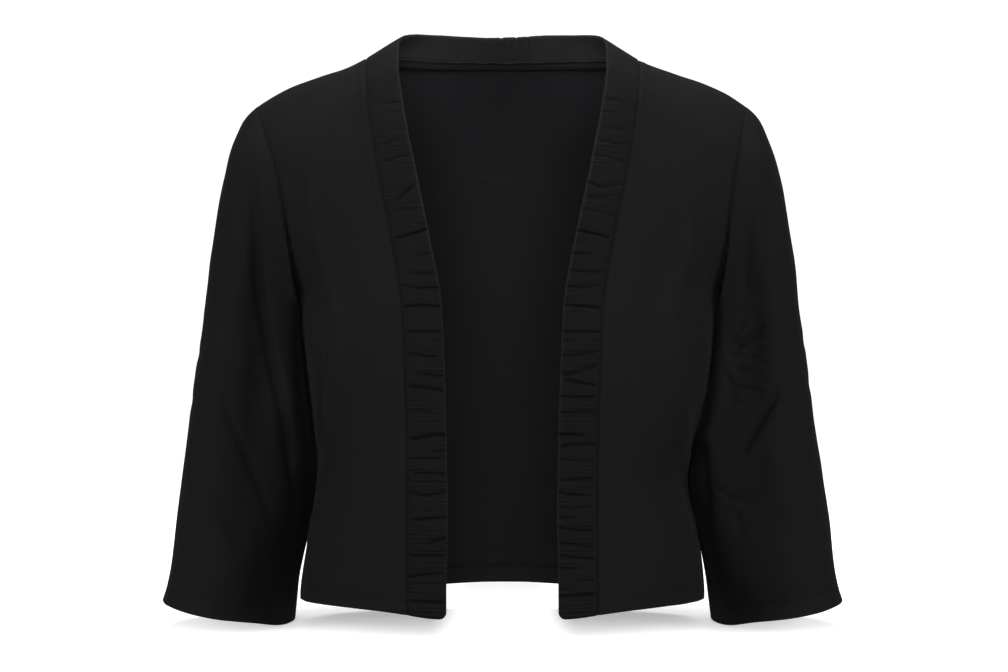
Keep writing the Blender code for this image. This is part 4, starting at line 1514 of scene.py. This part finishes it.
@dataclass
class NeckAllowance:
    """The back neck's overlocked seam allowance, pressed up on the inside of the neck band."""

    height: float = 0.0080
    rise: float = 0.0048  # how much more of it shows towards the shoulders
    waver: float = 0.0003
    off: float = 0.0012  # how far off the cloth it stands
    ridge: float = 0.0009  # how much further the seam stands out along its top
    thickness: float = 0.0011
    rows: int = 15
    puckers: Puckers = Puckers(0.00022, 0.0052, 1.0)
    loops: tuple[StitchLine, ...] = (
        StitchLine(pitch=0.0021, length=0.0030, radius=0.00030, slant=76),
        StitchLine(pitch=0.0021, length=0.0030, radius=0.00030, slant=-70),
    )
    seam: StitchLine = StitchLine(pitch=0.0025, length=0.0023, radius=0.00042)
    # The seam's thread is made pale: a painted highlight along the allowance's top.
    highlight_thread_colour: Colour = (0.026, 0.026, 0.028)

    def add(self, neck: Shell, wardrobe: Wardrobe) -> None:
        """Add the allowance and its threads to the neck band's inside."""
        inner = neck.faces_out()[1][:, 1:-1]
        heights = lengths(inner, 0)
        along = lengths(neck.faces_out()[1][0])
        side = 2 * along / along[-1] - 1
        top = (self.height + self.rise * side**2 + self.waver * np.sin(along * 260))[1:-1]
        along = along[1:-1]
        shares = np.linspace(0.0, 1.0, self.rows)[:, None]
        columns = [
            [np.interp(shares[:, 0] * high, heights[:, column], inner[:, column, axis]) for axis in range(3)]
            for column, high in enumerate(top)
        ]
        grid = np.array(columns).transpose(2, 0, 1)
        normals = np.broadcast_to(-neck.normals[0][None, 1:-1], grid.shape)
        off = self.off + self.puckers.relief(along[None], 0.0 * shares) * (1 - step_up(shares, 0.0, 0.8))
        off = off + self.ridge * bump(shares - 0.90, 0.16)
        face = grid + normals * off[..., None]
        flat = np.stack(np.broadcast_arrays(along[None], shares * self.height), axis=-1)
        strip = closed_shell("neck_seam_allowance", face, face - normals * self.thickness, flat, False, 1.0)
        # The strip takes the lightened inside finish, which is painted light.
        wardrobe.dress(strip, wardrobe.inside, wardrobe.inside)
        slot = wardrobe.band.slot
        loops = [loop.bars(face[2], normals[2]) for loop in self.loops]
        overlock = add_stitches("neck_overlock_stitches", loops)
        wardrobe.dress(overlock, Thread("thread_on_" + slot, slot))
        # Pale seam thread along the allowance's top, a painted highlight.
        seam = add_stitches("neck_seam_stitches", [self.seam.bars(face[-2], normals[-2])])
        wardrobe.dress(seam, Thread("pale_thread_on_" + slot, slot, colour=self.highlight_thread_colour))


@dataclass
class Cardigan:
    """The whole garment: it lofts the shells, gives them their relief, and adds every piece."""

    wardrobe: Wardrobe
    cut: Cut = field(default_factory=Cut)
    making: Making = field(default_factory=Making)
    gathers: Gathers = field(default_factory=Gathers)
    unevenness: Unevenness = Unevenness()
    neck_allowance: NeckAllowance = field(default_factory=NeckAllowance)
    needle: StitchLine = StitchLine()
    cover: tuple[StitchLine, ...] = tuple(
        StitchLine(length=0.0042, radius=0.00022, slant=slant) for slant in (62, -62)
    )
    band_rows: int = 1000
    band_width: float = 0.033
    crown: float = 0.0009  # how far a band swells between its seam and its fold
    corner: float = 0.0055  # how far a front band's bottom corner is rounded
    neck_fade: float = 0.006  # how soon creases die away from the band's joins at the neck
    seam_fade: float = 0.0035  # and from the seam along it
    fold_fade: float = 0.014  # how soon folds die away from the seams
    neck_columns: int = 300

    def build(self) -> None:
        """Make every piece of the cardigan."""
        front, back, band = self.cut.front(), self.cut.back_half(), self.cut.band()
        neck = self.cut.neck_half(back.outer[-1, : self.cut.neck_columns + 1])
        sleeves = {side: self.cut.sleeve(front, back, FITS[side]) for side in Side}
        share_normals([front, back, *sleeves.values(), band, neck])
        for half in (back, neck):
            half.normals[:, 0, 0] = 0.0
            half.normals = unit(half.normals)
        for side in Side:
            self._front(side, self._hung(side, front))
            self._sleeve(side, self._hung(side, sleeves[side]))
            self._band(side, self._hung(side, band))
        self._back(back)
        self._neck(neck)

    @staticmethod
    def _hung(side: Side, plain: Shell) -> Shell:
        """Return a plain shell where one side's cloth hangs."""
        return Shell(HANGS[side].shifted(plain.outer), plain.facing, plain.closed, plain.normals)

    @staticmethod
    def _whole(left: Points, right: Points) -> Points:
        """Join two halves whose columns start at the centre, the second one mirrored."""
        return np.concatenate([Side.RIGHT.turned(right[:, :0:-1]), left], axis=1)

    def _front(self, side: Side, shell: Shell) -> None:
        """Add one front, with its hem's stitches."""
        name = side.named("front")
        edges = self._drape(shell, side, FOLDS[name], ("first_column", "last_column", "last_row"))
        making, heights = self.making, shell.outer[..., 2]
        shell.relief += making.seam_puckers.relief(heights, edges["first_column"])
        shell.relief += making.groove(edges["first_column"]) + making.groove(edges["last_row"])
        shell.relief += making.armhole_groove(edges["last_column"], heights)
        shell.relief += making.imprint * (1 - step_up(edges["first_column"], *making.imprint_ends))
        making.hem_relief(shell, self.cut.places, edges["first_row"])
        self._add_panel(name, shell, side, self.wardrobe.body)
        self._hem_stitches(name, shell, side, self.cut.places)

    def _back(self, plain: Shell) -> None:
        """Add the back, with its hem's stitches."""
        left, right = (self._hung(side, plain) for side in Side)
        normals = self._whole(plain.normals, plain.normals)
        shell = Shell(self._whole(left.outer, right.outer), plain.facing, normals=normals)
        edges = self._drape(shell, Side.LEFT, FOLDS["back"], ("first_column", "last_column", "last_row"))
        shell.relief += self.making.groove(edges["last_row"])
        for edge in ("first_column", "last_column"):
            shell.relief += self.making.armhole_groove(edges[edge], shell.outer[..., 2])
        self.making.hem_relief(shell, self.cut.places, edges["first_row"])
        self._add_panel("back", shell, Side.LEFT, self.wardrobe.body)
        self._hem_stitches("back", shell, Side.LEFT, self.cut.places)

    def _sleeve(self, side: Side, shell: Shell) -> None:
        """Add one sleeve, with its hem's stitches."""
        name = side.named("sleeve")
        edges = self._drape(shell, side, FOLDS[name], ("first_row",))
        shell.relief += self.making.armhole_groove(edges["first_row"], shell.outer[:1, :, 2])
        flipped = Shell(shell.outer[::-1], -shell.facing, True, shell.normals[::-1])
        flipped.relief, flipped.thickness = shell.relief[::-1].copy(), shell.thickness[::-1].copy()
        places = (len(SLEEVE_STEPS) - spread(SLEEVE_STEPS))[::-1]
        self.making.hem_relief(flipped, places, edges["last_row"][::-1])
        self._add_panel(name, flipped, side, self.wardrobe.sleeve)
        self._hem_stitches(name, flipped, side, places)

    def _band(self, side: Side, hung: Shell) -> None:
        """Add one gathered front band."""
        along = lengths(hung.outer[:, 0])
        rows = np.interp(np.linspace(0, 1, self.band_rows), along / along[-1], np.arange(len(along)))
        normals = unit(along_rows(hung.normals, rows))
        shell = Shell(along_rows(hung.outer, rows), hung.facing, normals=normals)
        self._round_corner(shell)
        edges = self._drape(shell, side, (), ())
        shell.thickness[:] = self.making.band
        shares = np.broadcast_to(self.cut.band_across[None, :], shell.relief.shape)
        heights = shell.outer[..., 2]
        rise = np.gradient(heights, axis=0) / np.linalg.norm(np.gradient(shell.outer, axis=0), axis=2)
        slope = 1 / np.maximum(rise, 0.3)
        relief = self.gathers.relief(CREASES[side], heights, shares, slope, self.band_width)
        relief += self.crown * 4 * shares * (1 - shares)
        relief = relief * step_up(edges["last_row"], 0.0, self.neck_fade)
        shell.relief += relief * step_up(edges["first_column"], 0.0, self.seam_fade)
        shell.relief += self.making.band_puckers.relief(heights, edges["first_column"])
        shell.relief += self.making.groove(edges["first_column"]) + self.making.groove(edges["last_row"])
        self._round_fold(shell, edges["last_column"])
        self._round_fold(shell, edges["first_row"])
        finish = self.wardrobe.band
        self._add_panel(side.named("band"), shell, side, finish, finish)

    def _round_corner(self, shell: Shell) -> None:
        """Round the band's bottom corner at its fold."""
        edges = shell.from_edges()
        up = np.clip(1 - edges["first_row"] / self.corner, 0.0, 1.0)[..., None]
        side = np.clip(1 - edges["last_column"] / self.corner, 0.0, 1.0)[..., None]
        share = np.maximum(up, side) / np.maximum(np.hypot(up, side), 1e-9)
        share = np.where((up > 0) & (side > 0), share, 1.0)
        upward = unit(np.gradient(shell.outer, axis=0))
        inward = unit(-np.gradient(shell.outer, axis=1))
        shell.outer = shell.outer + (1 - share) * self.corner * (up * upward + side * inward)

    def _round_fold(self, shell: Shell, from_fold: Points) -> None:
        """Round a folded edge of the band."""
        shell.round_off(np.clip(from_fold / (self.making.band * 0.75), 0.03, 1.0))

    def _neck(self, plain: Shell) -> None:
        """Add the back neck band, with its seam allowance."""
        places = np.linspace(0, 2 * plain.outer.shape[1] - 2, self.neck_columns)
        outer, normals = (
            along_rows(self._whole(half, half).transpose(1, 0, 2), places).transpose(1, 0, 2)
            for half in (plain.outer, plain.normals)
        )
        shell = Shell(outer, plain.facing, normals=unit(normals))
        edges = self._drape(shell, Side.LEFT, (), ())
        shell.thickness[:] = self.making.band
        shares = self.cut.band_across[:, None]
        along = edges["first_column"]
        middle = along[:, along.shape[1] // 2][:, None]
        relief = self.crown * 4 * shares * (1 - shares)
        relief = relief + self.making.neck_puckers.relief(along, shares * self.band_width)
        for tuck in NECK_TUCKS:
            away = np.abs(middle - along + tuck.place + tuck.lean * shares)
            fade = step_up(shares, tuck.first - 0.10, tuck.first + 0.10)
            fade = fade * (1 - step_up(shares, tuck.last, 1.05))
            relief = relief - tuck.depth * fade / (1 + (away / tuck.width) ** 2) ** 1.4
        fades = {"first_column": self.neck_fade, "last_column": self.neck_fade, "first_row": self.seam_fade}
        for edge, fade in fades.items():
            relief = relief * step_up(edges[edge], 0.0, fade)
            shell.relief += self.making.groove(edges[edge])
        shell.relief += relief
        self._round_fold(shell, edges["last_row"])
        self.neck_allowance.add(shell, self.wardrobe)
        finish, inside = self.wardrobe.neck, self.wardrobe.neck_inside
        self._add_panel("neck_band", shell, Side.LEFT, finish, inside)

    def _drape(
        self, shell: Shell, side: Side, laid: Sequence[Fold], seams: Sequence[str]
    ) -> dict[str, Points]:
        """Give a shell its thickness, its unevenness and its folds.

        Args:
            shell: the piece of cloth, on the wearer's left.
            side: the side that it goes to.
            laid: the folds laid on it.
            seams: the edges that are sewn to another piece, where folds die away.

        Returns:
            How far each point lies from each edge.
        """
        edges = shell.from_edges()
        points, normals = side.turned(shell.outer), side.turned(shell.normals)
        shell.thickness[:] = self.making.jersey
        shell.relief += self.unevenness.relief(points)
        if laid:
            near = np.minimum.reduce([edges[seam] for seam in seams])
            total = sum(fold.relief(points, normals) for fold in laid)
            shell.relief += total * step_up(near, 0.0, self.fold_fade)
        return edges

    def _add_panel(
        self,
        name: str,
        shell: Shell,
        side: Side,
        finish: Jersey,
        inside: Jersey | None = None,
    ) -> None:
        """Add one panel in place of its solid, with its finishes."""
        piece = self.wardrobe.dress(shell.add(name + "_cloth", side), finish, inside or self.wardrobe.inside)
        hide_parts(name)

    def _hem_stitches(self, name: str, shell: Shell, side: Side, places: Points) -> None:
        """Add a hem's two needle lines outside and its cover stitch inside.

        Args:
            name: the panel's name.
            shell: the panel, whose first row is the hem's fold.
            side: the side that it goes to.
            places: each mesh row's share of the hem's height.
        """
        outer, inner = shell.faces_out()
        shares = self.making.needle_shares
        faces = ((outer, 1), (inner, -1))
        rows = [(share, self.needle, face, out) for share in shares for face, out in faces]
        rows += [(sum(shares) / 2, stitch, inner, -1) for stitch in self.cover]
        bars = []
        for share, stitch, face, out in rows:
            row = np.array([np.interp(share, places, np.arange(len(places)))])
            line, normals = along_rows(face, row)[0], along_rows(shell.normals, row)[0] * out
            bars.append(stitch.bars(side.turned(line), side.turned(normals)))
        slot = (self.wardrobe.sleeve if shell.closed else self.wardrobe.body).slot
        self.wardrobe.dress(add_stitches(name + "_hem_stitches", bars), Thread("thread_on_" + slot, slot))


# ---------------------------------------------------------------------------------------- the studio


class SoftLight(NamedTuple):
    """A soft square light: its name, where it stands, its size and its power. It points at the garment."""

    name: str
    place: tuple[float, float, float]
    size: float
    watts: float


LIGHTS = (
    SoftLight("front_light", (0.0, -2.7, 0.30), 1.5, 39.0),
    SoftLight("low_light", (0.0, -2.4, -0.20), 0.9, 4.5),
    SoftLight("top_light", (0.0, 0.30, 1.45), 1.3, 25.0),
    SoftLight("left_light", (2.2, -1.15, 0.28), 1.4, 31.0),
    SoftLight("right_light", (-2.2, -1.15, 0.28), 1.4, 31.0),
)


@dataclass
class Studio:
    """A white studio: a lit floor and backdrop, a soft light on each side, two in front and one overhead."""

    lowest: float
    floor_gap: float = 0.0012
    floor_size: float = 40.0
    surround: float = 0.10
    aim: tuple[float, float, float] = (0.0, 0.0, -0.2272)
    camera_place: tuple[float, float, float] = (0.0012, -1.8, -0.2272)
    lens: float = 78.4

    def build(self) -> None:
        """Add the floor, the backdrop, the lights and the camera."""
        self._floor()
        self._backdrop()
        scene = bpy.context.scene
        scene.world = bpy.data.worlds.new("studio")
        scene.world.use_nodes = True
        background = scene.world.node_tree.nodes["Background"]
        background.inputs["Color"].default_value = (1.0, 1.0, 1.0, 1.0)
        background.inputs["Strength"].default_value = self.surround
        scene.view_settings.view_transform = "Standard"
        scene.view_settings.look = "None"
        for light in LIGHTS:
            data = bpy.data.lights.new(light.name, "AREA")
            data.size = light.size
            data.energy = light.watts
            turn = (Vector(self.aim) - Vector(light.place)).to_track_quat("-Z", "Y").to_euler()
            self._stand(light.name, data, light.place, turn)
        data = bpy.data.cameras.new("camera")
        data.lens = self.lens
        data.sensor_width = 36.0
        scene.camera = self._stand("camera", data, self.camera_place, (math.radians(90), 0, 0))

    @staticmethod
    def _stand(
        name: str, data: bpy.types.ID, place: Sequence[float], turn: Sequence[float]
    ) -> bpy.types.Object:
        """Add a light or a camera at its place."""
        item = bpy.data.objects.new(name, data)
        item.location = place
        item.rotation_euler = turn
        bpy.context.scene.collection.objects.link(item)
        return item

    @staticmethod
    def _stage(name: str, points: Points, faces: Points, finish: StudioWhite) -> None:
        """Add a piece of the studio that the light passes through."""
        item = add_mesh(name, points, faces)
        item.data.materials.append(finish.material())
        item.visible_diffuse = False
        item.visible_glossy = False
        item.visible_shadow = False
        item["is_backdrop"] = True

    def _floor(self) -> None:
        """Add the floor."""
        half, z = self.floor_size / 2, self.lowest - self.floor_gap
        points = np.array([(-half, -half, z), (half, -half, z), (half, half, z), (-half, half, z)])
        self._stage("studio_floor", points, np.array([[0, 1, 2, 3]]), StudioWhite("floor_glow_painted_shade"))

    def _backdrop(self) -> None:
        """Add the white dome around the studio."""
        rings, around, radius = 12, 48, self.floor_size / 2.1
        tilt = np.linspace(-0.02, math.pi / 2 - 0.01, rings)[:, None]
        turn = np.linspace(0, 2 * math.pi, around, endpoint=False)[None, :]
        points = radius * np.stack(
            [np.cos(tilt) * np.cos(turn), np.cos(tilt) * np.sin(turn), np.sin(tilt) + 0 * turn], axis=-1
        )
        points[..., 2] += self.lowest
        number = np.arange(rings * around).reshape(rings, around)
        number = np.concatenate([number, number[:, :1]], axis=1)
        faces = np.stack([number[:-1, :-1], number[1:, :-1], number[1:, 1:], number[:-1, 1:]], axis=-1)
        finish = StudioWhite("backdrop_white", near=1.0)
        self._stage("studio_backdrop", points.reshape(-1, 3), faces.reshape(-1, 4), finish)


def main() -> None:
    """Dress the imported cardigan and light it."""
    logging.basicConfig(level=logging.INFO, format="%(message)s")
    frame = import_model()
    LOG.info("solids: %s", ", ".join(sorted(frame["nodes"])))
    Cardigan(Wardrobe()).build()
    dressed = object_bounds()
    Studio(lowest=dressed[0].z).build()


if __name__ == "__main__":
    main()
